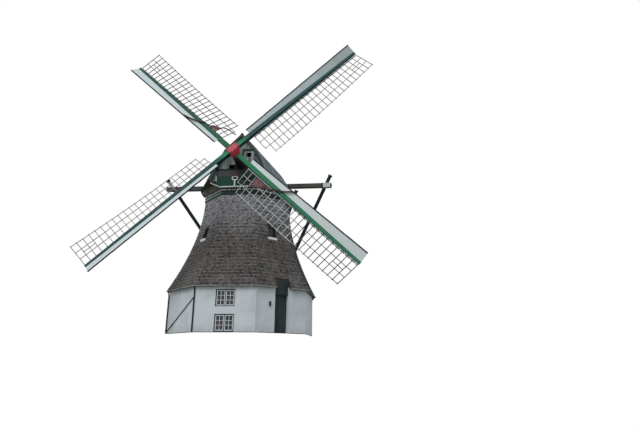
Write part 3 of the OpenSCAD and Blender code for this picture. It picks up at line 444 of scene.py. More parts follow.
# %% Dress the frame
DRESS = {
    LIMEWASH: "wall_front wall_back wall_doorway walls_sides walls_diagonal",
    INSIDE: "floors cap_ring",
    SHADED_TIMBER: "sheers shaft_bearings sole_plate",
    SHINGLE: "smock_front_back smock_door_side smock_sides smock_left_side",
    BAND_GREEN: "curb_band",
    FRESH_WHITE: "curb_blocks window_sashes valance ornament",
    DOOR_PAINT: "window_frames door_frame door_leaf door_head loft_windows",
    GLASS: "window_glass",
    TARRED: "eave_brackets tail_pole winch",
    BRACE_PAINT: "braces",
    BLACK_IRON: "downpipes",
    ROOF_BOARDS: "cap_roof_left cap_roof_right",
    GREY_BOARDS: "front_gable rear_gable",
    MOSSY_BOARDS: "cap_skirt",
    BARGE_GREY: "barge_boards",
    BOARD_EDGE: "windboard_edges",
    NAME_GREEN: "name_board",
    FRONT_GREEN: "front_boards",
    BEAM: "spruits",
    SHAFT_IRON: "windshaft",
    POLL_RED: "poll_end",
    OUTER_GREEN: "outer_stock",
    INNER_GREEN: "inner_stock",
    SAILBOARD: "windboards",
    SAIL_BARS: "sail_lattice_1 sail_lattice_2 sail_lattice_3 sail_lattice_4",
    SAILCLOTH: "furled_cloths",
}
for finish, nodes in DRESS.items():
    for node in nodes.split():
        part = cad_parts[node]
        for place in part.material_slots:
            place.material = finish
        if not part.material_slots:
            part.data.materials.append(finish)
missed = set(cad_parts) - set(" ".join(DRESS.values()).split())
print("parts without a finish:", sorted(missed) or "none")

# %% [markdown]
# ## A bench for small pieces
# Shingles, planks and straps are all little blocks and tubes. The bench gathers their corners and
# sides, gives every one a shade of its own, and makes one mesh of a whole family, which is far
# lighter than an object for each. The shade is stored on the faces, where the finishes read it.

# %% The bench
seed(1887)


def ring(place, u0, u1, v0, v1):
    """The four corners of a rectangle, each put in its place."""
    return [place(u, v) for u, v in ((u0, v0), (u1, v0), (u1, v1), (u0, v1))]


class Bench:
    def __init__(self):
        self.points, self.sides, self.shades = [], [], []

    def shape(self, points, sides, shade=None):
        start = len(self.points)
        self.points += [Vector(p) for p in points]
        self.sides += [[start + i for i in side] for side in sides]
        self.shades += [random() if shade is None else shade] * len(sides)

    def block(self, low, high, shade=None):
        """A solid between two rings of four corners each."""
        self.shape([*low, *high], [(0, 3, 2, 1), (4, 5, 6, 7), (0, 1, 5, 4), (1, 2, 6, 5),
                                   (2, 3, 7, 6), (3, 0, 4, 7)], shade)

    def bar(self, a, b, across, out):
        """A bar from a to b. across and out reach from its middle to its sides."""
        self.block(*(ring(lambda u, v: end + across * u + out * v, -1, 1, -1, 1) for end in (a, b)))

    def loft(self, rings, shade=None):
        """A solid through rings of n points each."""
        points, n = [p for ring in rings for p in ring], len(rings[0])
        last = len(points) - n
        self.shape(points, [(i + j, i + (j + 1) % n, i + n + (j + 1) % n, i + n + j)
                            for i in range(0, last, n) for j in range(n)]
                   + [tuple(range(n))[::-1], tuple(range(last, last + n))], shade)

    def tube(self, path, radius, sides=10):
        """A round bar along points, with one radius or a list of them."""
        radii = radius if isinstance(radius, list) else [radius] * len(path)
        turns = [2 * pi * j / sides for j in range(sides)]
        rings, side = [], None
        for i, (p, r) in enumerate(zip(path, radii)):
            ahead = (path[min(i + 1, len(path) - 1)] - path[max(i - 1, 0)]).normalized()
            side = side or ahead.orthogonal()
            side = (side - ahead * side.dot(ahead)).normalized()
            up = ahead.cross(side)
            rings.append([p + r * (cos(turn) * side + sin(turn) * up) for turn in turns])
        self.loft(rings)

    def make(self, name, body, finish, slot, smooth=False, soften=0.0):
        mesh = bpy.data.meshes.new(name)
        mesh.from_pydata([tuple(p) for p in self.points], [], self.sides)
        mesh.attributes.new("shade", "FLOAT", "FACE").data.foreach_set("value", self.shades)
        shell = bmesh.new()
        shell.from_mesh(mesh)
        bmesh.ops.recalc_face_normals(shell, faces=shell.faces)
        shell.to_mesh(mesh)
        shell.free()
        mesh.materials.append(finish)
        if smooth:
            mesh.shade_smooth()
        piece = add(name, mesh)
        if soften:
            edge = piece.modifiers.new("soft edges", "BEVEL")
            edge.width, edge.segments, edge.angle_limit = soften, 2, radians(40)
        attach(piece, body)
        print(name, len(mesh.polygons), "sides")
        return piece


def benches(n):
    return [Bench() for _ in range(n)]


# %% [markdown]
# ## The mill's eight sides
# The plan is a regular octagon, so a point is easiest to give as a side of the mill, a distance
# to the right along it, a distance out from the axis and a height. The smock's sides curve
# outwards to the eaves, which one power curve gives, the same that the carpenter's model uses.

# %% Places on the tower
HALF_SIDE = 22.5  # degrees from the middle of a side to its corner
OCT = tan(radians(HALF_SIDE))
WALL_OUT = 4.61
SKIRT_Z, SMOCK_Z = 2.76, 9.23
SKIRT_OUT, TOP_OUT, FLARE = 4.82, 2.86, 1.8
ACROSS, BACK, UP = at(1, 0, 0), at(0, 1, 0), at(0, 0, 1)


def smock_out(z):
    return TOP_OUT + (SKIRT_OUT - TOP_OUT) * (max(SMOCK_Z - z, 0) / (SMOCK_Z - SKIRT_Z)) ** FLARE


def heading(degrees):
    return Vector((cos(radians(degrees)), sin(radians(degrees)), 0))


def side_axes(k):
    """Directions out of side k of the mill and to the right along it."""
    return heading(-90 + 45 * k), heading(45 * k)


def on_side(k, right, out, z):
    outward, along = side_axes(k)
    return outward * out + along * right + UP * z


def post(bench, k, u, out, low, high, half_w, half_t):
    outward, along = side_axes(k)
    bench.bar(on_side(k, u, out, low), on_side(k, u, out, high), along * half_w, outward * half_t)


def rail(bench, k, left, right, out, z, half_h, half_t):
    bench.bar(on_side(k, left, out, z), on_side(k, right, out, z), UP * half_h,
              side_axes(k)[0] * half_t)


def clamp(share):
    return min(max(share, 0), 1)


print("smock is", round(2 * smock_out(5.2) / cos(radians(HALF_SIDE)), 2), "m over corners at 5.2 m")

# %% [markdown]
# ## Shingling the smock
# A shingler starts at the eaves and nails course over course. Every shingle is a thin wedge,
# thick at the butt, whose shadow line draws the courses; the butt face is also painted nearly
# black as painted shadow. A bump pattern would look flat along the outline, so they are real
# wedges: over a thousand on each side, in one mesh. Courses are spaced evenly up the curved
# slope, and a course that meets the doorway or a window stops beside it.

# %% Shingles
COURSE, BUTT, SHINGLE_W, THIN_END = 0.125, 0.034, (0.075, 0.14), 0.006
LAP, JOINT, SLIVER = 0.25 * COURSE, 0.003, 0.04  # overlap, half a joint, narrowest left over
BUTT_PAINTED_SHADOW = -1  # butt faces, which the finish paints nearly black as painted shadow under each course
LOFT_HOLE = (-0.33, 0.33, 6.17, 7.09)  # left, right, foot and top of an opening
HOLES = {1: [(-0.54, 0.54, 0.0, 3.31), LOFT_HOLE], 7: [LOFT_HOLE]}


def free_stretches(k, low, high, half):
    """The stretches of a course that no opening cuts."""
    stretches = [(-half, half)]
    for left, right, foot, top in HOLES.get(k, ()):
        if low < top and high > foot:
            stretches = [s for a, b in stretches for s in ((a, min(b, left)), (max(a, right), b))]
    return [(a, b) for a, b in stretches if b - a > 0.02]


z, HEIGHTS = SKIRT_Z - 0.01, []
while z < SMOCK_Z - 0.02:
    HEIGHTS.append(z)
    z += COURSE / hypot(1, (smock_out(z) - smock_out(z + 0.01)) / 0.01)
HEIGHTS.append(SMOCK_Z)
for k in range(8):
    bench = Bench()
    for n, (low, high) in enumerate(zip(HEIGHTS, HEIGHTS[1:])):
        top = min(high + LAP, SMOCK_Z)
        half_low, half_top = smock_out(low) * OCT, smock_out(top) * OCT
        course_shade = uniform(-0.12, 0.12) + 0.15 * (-1) ** n
        for a, b in free_stretches(k, low, high, half_low):
            right = a
            while right < b - 0.001:
                left, right = right, min(right + uniform(*SHINGLE_W), b)
                if b - right < SLIVER:
                    right = b
                lift = BUTT * uniform(0.75, 1.2)
                drop = uniform(0, 0.012)
                at_corner = max(abs(left), abs(right)) > half_low - 0.2
                ends = []
                for z, half, out in ((low - drop, half_low, lift), (top, half_top, THIN_END)):
                    u0, u1 = left / half_low * half + JOINT, right / half_low * half - JOINT
                    wide = 1 + out / smock_out(z) if at_corner else 1
                    ends.append([on_side(k, u, smock_out(z) + d, z) for u, d in (
                        (u0, -0.004), (u1, -0.004), (u1 * wide, out), (u0 * wide, out))])
                bench.block(*ends, clamp(gauss(0.53, 0.24) + course_shade))
                # the butt face gets the painted shadow that marks each course
                bench.shades[-6] = BUTT_PAINTED_SHADOW
    bench.make(f"shingles_side_{k}", "tower", SHINGLE, "shingles")

# %% [markdown]
# ## Windows in the base
# Each opening holds a dark frame and a pair of white casements, six panes to a casement. Their
# bars could be a pattern on the glass, but real sticks catch the light and throw a shadow. They
# sit on the glass of the carpenter's sashes.

# %% Glazing bars
SASH_OUT, LIGHT_W, LIGHT_H, LIGHT_X = WALL_OUT - 0.07, 0.435, 0.83, 0.2875
WINDOW_Z = (0.04, 1.53)


def glazing(bench, k, out, middle, width, height, stick=0.012):
    """Sticks that cut a light into two by three panes."""
    x, z = middle
    post(bench, k, x, out, z - height / 2, z + height / 2, stick, stick)
    for j in (1, 2):
        rail(bench, k, x - width / 2, x + width / 2, out, z - height / 2 + height * j / 3,
             stick * 0.85, stick * 0.85)


for k in (0, 4):
    sticks = Bench()
    for low in WINDOW_Z:
        for x in (-LIGHT_X, LIGHT_X):
            glazing(sticks, k, SASH_OUT - 0.012, (x, low + 0.52), LIGHT_W, LIGHT_H)
    sticks.make(f"glazing_bars_{k}", "tower", FRESH_WHITE, "white_paint")

# %% [markdown]
# ## Windows in the smock
# Two small windows stand upright in the sloping wall, so their heads are flush with the shingles
# and their feet lie deep behind them. A broad white board carries the rain from the foot of the
# window out over the shingles, and a black strip over the head is painted shadow of the head.
# Their places follow from the smock's curve, as the shingles' do.

# %% Smock windows
LOFT_W, LOFT_H, LOFT_Z = 0.52, 0.78, 6.24
LOFT_OUT = smock_out(LOFT_Z)
PANE_OUT = LOFT_OUT - 0.33
SILL_ENDS = {1: (-0.42, 0.3), 7: (-0.36, 0.36)}

for k in (1, 7):
    outward, along = side_axes(k)
    sash, panes, sill, lead = benches(4)
    for j in range(3):
        for u in (-LOFT_W / 4, LOFT_W / 4):
            rail(panes, k, u - 0.12, u + 0.12, PANE_OUT + 0.003, LOFT_Z + LOFT_H * (j + 0.5) / 3,
                 LOFT_H / 6 - 0.012, uniform(0.003, 0.006))
    panes.make(f"smock_panes_{k}", "tower", PAINTED_REFLECTION_GLASS, "glass")
    glazing(sash, k, PANE_OUT + 0.014, (0, LOFT_Z + LOFT_H / 2), LOFT_W, LOFT_H, 0.016)
    for side in (-1, 1):
        post(sash, k, side * (LOFT_W / 2 - 0.03), PANE_OUT + 0.015, LOFT_Z, LOFT_Z + LOFT_H,
             0.028, 0.016)
    sash.make(f"smock_sash_{k}", "tower", DOOR_PAINT, "dark_paint")
    sill.bar(on_side(k, 0, PANE_OUT + 0.02, LOFT_Z + 0.06), on_side(k, 0, LOFT_OUT + 0.07, LOFT_Z),
             along * (LOFT_W / 2 - 0.004), UP * 0.014)
    rail(sill, k, *SILL_ENDS[k], LOFT_OUT + 0.08, LOFT_Z - 0.06, 0.08, 0.016)
    sill.make(f"smock_sill_{k}", "tower", FRESH_WHITE, "white_paint", soften=0.004)
    # painted shadow: a black strip over the window head
    low = LOFT_Z + LOFT_H + 0.055
    high = low + 0.2
    lead.bar(on_side(k, 0, smock_out(low) + 0.035, low),
             on_side(k, 0, smock_out(high) + 0.022, high),
             along * 0.36, (outward + UP * 0.3) * 0.006)
    lead.make(f"smock_head_shadow_strip_{k}", "tower", BLACK_IRON, "lead", soften=0.002)

# %% [markdown]
# ## The door
# The leaf swings on the frame's own hinges, so all that is nailed to it rides with it: upright
# planks with open joints and a thumb latch with its bent handle. Above the door the smock is cut
# away and closed with boards.

# %% Door planks and latch
DOOR_SIDE, DOOR_OUT, DOOR_W, DOOR_LOW, DOOR_HIGH = 1, 4.37, 0.916, 0.072, 2.318
PLANK, HEAD_OUT = 0.014, smock_out(3.3) - 0.02
LATCH_X, LATCH_Z = -0.36, 1.02
HANDLE = ((0, 0), (0.05, 0.02), (0.055, 0.12), (0.05, 0.22), (0, 0.24))  # out and up


def plank_wall(bench, half, n, low, high, out):
    """n upright planks on the door's side."""
    width = 2 * half / n
    for i in range(n):
        post(bench, DOOR_SIDE, -half + (i + 0.5) * width, out + PLANK / 2, low, high,
             width / 2 - 0.003, PLANK * uniform(0.44, 0.5))


planks, latch, head = benches(3)
plank_wall(planks, DOOR_W / 2, 7, DOOR_LOW, DOOR_HIGH, DOOR_OUT)
planks.make("door_planks", "door", DOOR_PAINT, "dark_paint", soften=0.003)
latch_foot = on_side(DOOR_SIDE, LATCH_X, DOOR_OUT + PLANK, LATCH_Z)
latch.tube([latch_foot + side_axes(DOOR_SIDE)[0] * d + UP * z for d, z in HANDLE], 0.009)
rail(latch, DOOR_SIDE, LATCH_X - 0.03, LATCH_X + 0.05, DOOR_OUT + PLANK, LATCH_Z + 0.29, 0.012,
     0.012)
latch.make("door_latch", "door", BLACK_IRON, "pipe", smooth=True)
plank_wall(head, 0.51, 8, 2.41, 3.29, HEAD_OUT)
head.make("door_head_planks", "tower", DOOR_PAINT, "dark_paint", soften=0.003)

# %% [markdown]
# ## Fittings on the base
# Rings hold the rain pipes to the corners, and a small weatherproof lantern hangs beside the
# door. A black bitumen line seals the foot of the wall. All are short tubes and strips, laid
# along the wall.

# %% Pipe rings, lantern and foot line
pipe_out = WALL_OUT / cos(radians(HALF_SIDE)) + 0.045
rings, lantern, foot = benches(3)
for corner in (-112.5, -157.5):
    for z in (0.25, 1.15, 2.05):
        centre = heading(corner) * pipe_out + UP * z
        rings.tube([centre - UP * 0.02, centre + UP * 0.02], 0.056, sides=20)
rings.make("pipe_rings", "tower", BLACK_IRON, "pipe")

for out, low, high, half_w, half_t in ((0.055, 1.6, 1.85, 0.045, 0.04),
                                       (0.045, 1.85, 1.88, 0.06, 0.055),
                                       (0.008, 1.57, 1.91, 0.03, 0.012)):
    post(lantern, DOOR_SIDE, -0.91, WALL_OUT + out, low, high, half_w, half_t)
lantern.make("door_lantern", "tower", BLACK_IRON, "pipe", soften=0.004)

half = WALL_OUT * OCT
for k in range(8):
    for a, b in ([(-half, -0.54), (0.54, half)] if k == DOOR_SIDE else [(-half, half)]):
        rail(foot, k, a, b, WALL_OUT + 0.004, 0.018, 0.016, 0.005)
foot.make("foot_line", "tower", BLACK_IRON, "lead")

# %% [markdown]
# ## The roof of the cap
# The cap is boarded from ridge to eaves. Boards bend over the shoulder and the hip, and the cap
# is wider in the middle than at its ends, so each board is laid over the roof like a ribbon: its
# two edges follow the roof at a fixed share of the length, with a narrow open joint between
# neighbours. The roof's flat triangles are worked out just as in the carpenter's model, so no
# board sinks in.

# %% Roof geometry
EAVE_Z, RIDGE_Z, PEAK_Y, LEAN = 10.16, 13.82, 2.8, radians(8)
CAP_ROWS = [  # place, half width, drop of the ridge, shoulder and hip as shares of both
    (0.0, 2.15, 0.0, 0.535, 0.64, 0.837, 0.23),
    (-3.22 * OCT, 3.22, 0.06, 0.473, 0.586, 0.818, 0.253),
    (3.22 * OCT, 3.22, 0.22, 0.431, 0.613, 0.773, 0.288),
    (3.0, 1.65, 0.47, 0.485, 0.661, 0.8, 0.342)]


def board_y(z):
    return -PEAK_Y - (RIDGE_Z - z) * tan(LEAN)


def leaned(x, back, z):
    """A point of the leaning front, back metres behind its face, at about height z."""
    down = (z - RIDGE_Z) / cos(LEAN)
    return Vector((x, -PEAK_Y + back * cos(LEAN) + down * sin(LEAN),
                   RIDGE_Z - back * sin(LEAN) + down * cos(LEAN)))


def cap_point(row, i, side):
    """Ridge, shoulder, hip or eave (0 to 3) of a row, on the right (1) or left (-1)."""
    place, half, drop, sw, sh, hw, hh = CAP_ROWS[row]
    high = RIDGE_Z - drop - EAVE_Z
    share, rise = ((0, 1), (sw, sh), (hw, hh), (1, 0))[i]
    z = EAVE_Z + high * rise
    return Vector((side * half * share, board_y(z) if row == 0 else place, z))


def roof_corners(row, i, side):
    return ring(lambda r, j: cap_point(r, j, side), row, row + 1, i, i + 1)


def roof_point(row, i, side, along, down):
    """A point on the roof between two rows and two edges, on its flat triangles."""
    a, b, c, d = roof_corners(row, i, side)
    if along > down:
        return a + along * (b - a) + down * (c - b)
    return a + down * (d - a) + along * (c - d)


def roof_normal(row, i, side):
    a, b, c, d = roof_corners(row, i, side)
    return ((c - a).cross(d - b) * side).normalized()


print("roof slope out", tuple(round(v, 2) for v in roof_normal(1, 1, 1)))

# %% [markdown]
# A ribbon is a row of slices across a board, each with two edges and a thickness. The bench skins
# them from end to end, and the roof's boards and the cover of the ridge are all made this way.

# %% Ribbons of board
ROOF_BOARD, ROOF_T, STEPS = 0.17, 0.016, 6


def slice_of(left, right, out):
    """A ribbon's four corners at one place, thick by the vector out."""
    return left - out * 0.3, right - out * 0.3, right + out, left + out


for side, name in ((1, "roof_boards_right"), (-1, "roof_boards_left")):
    bench = Bench()
    for row in range(3):
        length = abs(CAP_ROWS[row + 1][0] - (CAP_ROWS[row][0] or -PEAK_Y - 0.4))
        n, joint = max(round(length / ROOF_BOARD), 1), 0.004 / length
        bows = [roof_normal(row, i, side) for i in range(3)]
        for j in range(n):
            slices = []
            for i in range(3):
                for step in range(STEPS + (i == 2)):
                    bow = (bows[i] + bows[i - 1]).normalized() if step == 0 and i else bows[i]
                    left, right = (roof_point(row, i, side, along, step / STEPS)
                                   for along in (j / n + joint, (j + 1) / n - joint))
                    slices.append(slice_of(left, right, bow * ROOF_T))
            bench.loft(slices)
    bench.make(name, "cap", ROOF_BOARDS, "roofing")

ridge = Bench()
for side in (-1, 1):
    slices = []
    for row in range(4):
        lift = UP * 0.03 - BACK * (0.05 if row == 0 else 0)
        top, shoulder = (cap_point(row, i, side) + lift for i in (0, 1))
        slices.append(slice_of(top, top.lerp(shoulder, 0.1), UP * 0.02))
    ridge.loft(slices, 0.3)
ridge.make("ridge_boards", "cap", BLACK_IRON, "lead", soften=0.004)

# %% [markdown]
# ## Gables
# Both ends of the cap are boarded upright. A plank runs from the foot of the gable up to the
# roof, and where it meets a window or the slot round the windshaft it is cut short, leaving the
# opening clear. The planks' edges fall on the edges of the openings, as a carpenter would set
# them out.

# %% Gable planks
GABLE_HOLES = [(-0.34, 0.34, 10.98, 11.67), (-0.76, 0.54, 11.02, 11.42),
               (0.42, 0.72, 12.0, 12.34)]  # left, right, foot and head, from the lowest foot up
FRONT_LOW, REAR_LOW, GABLE_FOOT, REAR_Y = 10.45, 10.62, EAVE_Z + 0.03, 2.85


def under_roof(row, x):
    edge = [cap_point(row, i, 1) for i in range(4)]
    for high, low in zip(edge, edge[1:]):
        if high.x <= abs(x) <= low.x:
            return high.z + (low.z - high.z) * (abs(x) - high.x) / (low.x - high.x) - 0.16
    return EAVE_Z


def gable(name, finish, row, half, place, low, holes):
    """Planks in front of a gable. low gives where a plank starts, place puts a point there."""
    bench = Bench()
    cuts = sorted({-half, half, *(x for hole in holes for x in hole[:2])})
    for a, b in zip(cuts, cuts[1:]):
        n = max(round((b - a) / ROOF_BOARD), 1)
        for i in range(n):
            x0, x1 = a + (b - a) * i / n + 0.003, a + (b - a) * (i + 1) / n - 0.003
            middle = (x0 + x1) / 2
            spans = [(low(middle), None)]
            for left, right, foot, head in holes:
                if left < middle < right:
                    start = spans.pop()[0]
                    spans += [(start, foot)] * (foot > start) + [(max(head, start), None)]
            for foot, head in spans:
                tops = (head, head) if head else (under_roof(row, x0), under_roof(row, x1))
                if min(tops) - foot >= 0.03:
                    proud = uniform(0.014, 0.019)
                    bench.block(*([place(x0, 0, z0), place(x1, 0, z1), place(x1, proud, z1),
                                   place(x0, proud, z0)] for z0, z1 in ((foot, foot), tops)))
    bench.make(name, "cap", finish, "grey_timber", soften=0.002)


gable("front_gable_planks", FRONT_BOARDS, 0, 1.95, lambda x, proud, z: leaned(x, 0.22 - proud, z),
      lambda x: FRONT_LOW if abs(x) < 1.56 else GABLE_FOOT, GABLE_HOLES)
gable("rear_gable_planks", GREY_BOARDS, 3, 1.5, lambda x, proud, z: at(x, REAR_Y + proud, z),
      lambda x: GABLE_FOOT if abs(x) > 0.15 else REAR_LOW, [])

# %% [markdown]
# ## The skirt
# Below the eaves an eight-sided skirt of mossy boards hides the ring on which the cap turns. The
# boards flare outwards slightly, and the joints between them stay open for air. Each is a block
# between two heights, as a plain cone of boards would have no corners.

# %% Skirt boards
SKIRT, SKIRT_BOARDS = ((2.96, 9.665), (3.09, 10.105)), 16  # distance out and height

skirt = Bench()
for k in range(8):
    for i in range(SKIRT_BOARDS):
        ends = []
        for out, z in SKIRT:
            half = (out + 0.008) * OCT
            u0, u1 = (-half + 2 * half * j / SKIRT_BOARDS for j in (i, i + 1))
            z -= uniform(0, 0.012) if z < 10 else 0
            ends.append(ring(lambda u, d: on_side(k, u, out + d, z), u0 + 0.004, u1 - 0.004,
                             -0.005, 0.016))
        skirt.block(*ends)
skirt.make("skirt_boards", "cap", MOSSY_BOARDS, "grey_timber", soften=0.002)

# %% [markdown]
# ## Fittings of the front
# A tie, two uprights and a strut brace the gable over the windshaft. The name board stays bare
# between two dark mouldings; the lower one is also painted shadow under the board's overhang.
# Beside and below it the front is closed with painted boards: pale green ones that follow the
# roof, and a deep green shutter in the opening under the name board. Most lean back with the
# front, so one function places them.

# %% Front fittings
TIES = (((0.1, 12.57), (1.08, 12.57), 0.035, 0.06), ((1.04, 12.56), (1.04, 12.08), 0.035, 0.06),
        ((0.13, 12.5), (0.13, 12.16), 0.04, 0.06), ((0.6, 13.05), (1.04, 12.6), 0.03, 0.05))
SIDE_PANEL, PANEL_IN = ((10.26, 1.98), (10.99, 1.7)), 1.6  # height and half width of the front
SHUTTER_X, SHUTTER_W, SHUTTER_BOARDS, BAND_OUT = -0.29, 1.68, 9, 2.93

ties, trim_and_shadow_line, panels = benches(3)
for a, b, half_w, thick in TIES:
    start, end = (leaned(x, 0.16, z) for x, z in (a, b))
    ties.bar(start, end, (end - start).cross(BACK).normalized() * half_w, BACK * -thick)
ties.make("gable_ties", "cap", TARRED, "dark_paint", soften=0.004)

# the lower dark bar stands for the shadow under the name board, as painted shadow
for z, half in ((10.45, 1.57), (11.04, 1.62)):
    trim_and_shadow_line.bar(leaned(-half, 0.165, z), leaned(half, 0.165, z), UP * 0.035, BACK * -0.022)
for x in (-1.56, 1.56):
    trim_and_shadow_line.bar(leaned(x, 0.175, 10.49), leaned(x, 0.175, 11.0), ACROSS * 0.02, BACK * -0.014)
trim_and_shadow_line.make("name_board_trim_and_shadow", "cap", BOARD_EDGE, "dark_paint", soften=0.004)

for side in (-1, 1):
    for i in range(3):
        ends = []
        for z, half in SIDE_PANEL:
            u0, u1 = (PANEL_IN + (half - PANEL_IN) * (i + t) / 3 for t in (0.02, 0.98))
            ends.append(ring(lambda u, d: leaned(side * u, 0.2 - d, z), u0, u1, 0, 0.02))
        panels.block(*ends)
panels.make("front_side_panels", "cap", SIDE_GREEN, "green_paint", soften=0.003)

shutter, blocks, disc, beads = benches(4)
for i in range(SHUTTER_BOARDS):
    x = SHUTTER_X + SHUTTER_W * (i + 0.5) / SHUTTER_BOARDS
    shutter.bar(at(x, -3.095, 9.86), at(x, -3.095, 10.33), ACROSS * 0.088, BACK * -0.008)
shutter.make("front_shutter", "cap", DEEP_GREEN, "green_paint", soften=0.002)

for x0, x1, y, z, thick in ((-1.88, -1.55, -3.16, 10.09, 0.04), (-0.37, -0.13, -3.17, 10.5, 0.03)):
    blocks.bar(at(x0, y, z), at(x1, y, z), UP * 0.05, BACK * -thick)
blocks.make("red_blocks", "cap", DARK_RED, "red_paint", soften=0.006)

disc.tube([at(-0.25, y, 10.315) for y in (-3.13, -3.15)], 0.1, sides=24)
disc.make("ornament_disc", "cap", BLACK_IRON, "dark_paint")

half = BAND_OUT * OCT
for k in range(8):
    for z in (9.25, 9.505):
        rail(beads, k, -half, half, BAND_OUT - 0.015, z, 0.022, 0.018)
beads.make("curb_beads", "tower", BOARD_EDGE, "dark_paint")

# %% [markdown]
# ## Rims of the cap and ends of the beams
# A dark board covers the corner at each side of the cap, where the skirt's boards end, and bends
# round from the roof down to the skirt's foot. The long beam's right end is painted white behind
# an iron strap and closed by a red knob, its left end has lost the white.

# %% Corner rims and beam ends
RIM_PATH = [(3.42, 10.33), (3.47, 10.22), (3.47, 10.1), (3.42, 9.97), (3.34, 9.83), (3.25, 9.7),
            (3.2, 9.64)]  # distance out from the axis and height
BEAM_END, BEAM_Y, BEAM_Z, BEAM_HALF = 6.175, -0.47, 10.56, 0.15
KNOB = ((0, 0.02, 0.045, 0.06), [0.11, 0.11, 0.08, 0.03])  # places along it and radii

rims = Bench()
for corner in (HALF_SIDE - 180, -HALF_SIDE):
    rims.tube([heading(corner) * out + UP * z for out, z in RIM_PATH], 0.065, sides=8)
rims.make("skirt_corner_rims", "cap", BOARD_EDGE, "dark_paint", smooth=True)


def on_beam(x):
    return at(x, BEAM_Y, BEAM_Z)


def sleeve(bench, x0, x1, thick):
    half = BEAM_HALF + thick / 2
    for way, wide in ((BACK, UP), (-BACK, UP), (UP, BACK), (-UP, BACK)):
        bench.bar(on_beam(x0) + way * half, on_beam(x1) + way * half, wide * half, way * thick / 2)


white_end, straps, knobs = benches(3)
sleeve(white_end, BEAM_END - 0.6, BEAM_END - 0.02, 0.012)
sleeve(straps, BEAM_END - 0.72, BEAM_END - 0.62, 0.016)
sleeve(straps, BEAM_END - 0.06, BEAM_END, 0.018)
sleeve(knobs, 0.72 - BEAM_END, 0.86 - BEAM_END, 0.016)
for side in (-1, 1):
    knobs.tube([on_beam(side * (BEAM_END - 0.005 + t)) for t in KNOB[0]], KNOB[1], sides=24)
white_end.make("beam_end_boards", "cap", WHITE_PAINT, "white_paint", soften=0.003)
straps.make("beam_straps", "cap", BLACK_IRON, "dark_paint", soften=0.003)
knobs.make("beam_knobs", "cap", DARK_RED, "red_paint", soften=0.003)

# %% [markdown]
# ## Braces
# Four braces run from the ends of the two cross beams down to the tail pole, so that pulling the
# pole turns the whole cap. Each is a heavy bar with its corners taken off, bolted to the beam,
# and ends above it in a wider head. One left head is white. They replace the plain bars of the
# carpenter's model and lie on the same lines.

# %% Brace bars and heads
POLE_FOOT, POLE_TOP = at(0, 6.6, 0.9), at(0, 3.55, 9.99)
BRACE_HALF, HEAD_L, POLE_HALF = 0.098, 0.14, 0.12
BRACES = ((at(5.68, -0.15, 10.56), 1.4, 0.85),  # seat, height of the foot, length above
          (at(3.05, 2.435, 10.77), 3.6, 0.36))
braces, heads, bands = benches(3)
for seat, foot_z, over in BRACES:
    foot = POLE_FOOT.lerp(POLE_TOP, (foot_z - POLE_FOOT.z) / (POLE_TOP.z - POLE_FOOT.z))
    for side in (-1, 1):
        top = at(seat.x * side, seat.y, seat.z)
        way = (top - foot).normalized()
        flank = way.cross(UP).normalized()
        out = flank.cross(way)
        high = top + way * over
        braces.bar(foot + way * abs(POLE_HALF / way.x), high, flank * BRACE_HALF, out * BRACE_HALF)
        neck = ring(lambda a, b: high + (flank * a + out * b) * BRACE_HALF, -1, 1, -1, 1)
        heads.block(neck, [p + (p - high) * 0.35 + way * HEAD_L for p in neck])
        band = BRACE_HALF + 0.008
        bands.bar(top - way * 0.3, top - way * 0.24, flank * band, out * band)
        if side < 0 and seat.x > 5:
            white = Bench()
            for flat_way, edge_way in ((flank, out), (out, flank)):
                white.bar(top + way * 0.16, high - way * 0.08, flat_way * (BRACE_HALF + 0.012),
                          edge_way * BRACE_HALF * 0.72)
            white.make("white_brace_head", "cap", FRESH_WHITE, "white_paint")
brace_bars = braces.make("brace_bars", "cap", BRACE_PAINT, "dark_paint", soften=0.02)
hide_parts("braces")
heads.make("brace_heads", "cap", BRACE_PAINT, "dark_paint", soften=0.01)
bands.make("brace_bands", "cap", BLACK_IRON, "dark_paint", soften=0.003)

# %% [markdown]
# ## Poll end
# The cast poll end holds the two stocks crosswise. Its front box has raised rims, and bolts pin
# the wedges. Rims and bolts ride on the rotor, so they are placed in the sails' own axes.

# %% Poll rims and bolts
LAYER = 0.16
SIDE_IN, SIDE_OUT, RIM_BACK, RIM_FRONT = 0.16, 0.237, -0.225, 0.228


def sail(k):
    """The axes of sail k: x along the stock, y to the windboards, z towards the front."""
    layer = LAYER if k % 2 == 0 else -LAYER
    return (Matrix.Translation(HUB) @ Matrix.Rotation(radians(90 - SHAFT_TILT), 4, "X")
            @ Matrix.Rotation(radians(SAIL_TURN + 90 * k), 4, "Z")
            @ Matrix.Translation((0, 0, layer)))


def straight(axes, bench, low, high):
    (x0, y0, z0), (x1, y1, z1) = low, high
    bench.block(*(ring(lambda x, y: axes @ at(x, y, z), x0, x1, y0, y1) for z in (z0, z1)))


front = sail(0)
rims, bolts = benches(2)
for x0, x1 in ((-0.39, -0.31), (0.31, 0.39)):
    for y0, y1 in ((-SIDE_OUT, -SIDE_IN), (SIDE_IN, SIDE_OUT)):
        straight(front, rims, (x0, y0, RIM_BACK), (x1, y1, RIM_FRONT))
    for z0, z1 in ((RIM_BACK, -0.155), (0.155, RIM_FRONT)):
        straight(front, rims, (x0, -SIDE_OUT, z0), (x1, SIDE_OUT, z1))
for x in (-0.26, 0.0, 0.26):
    for y in (-0.19, 0.19):
        bolts.tube([front @ at(x, y, z) for z in (0.21, 0.245)], 0.03, sides=6)
rims.make("poll_rims", "rotor", POLL_RED, "red_paint", soften=0.006)
bolts.make("poll_bolts", "rotor", BLACK_IRON, "red_paint")

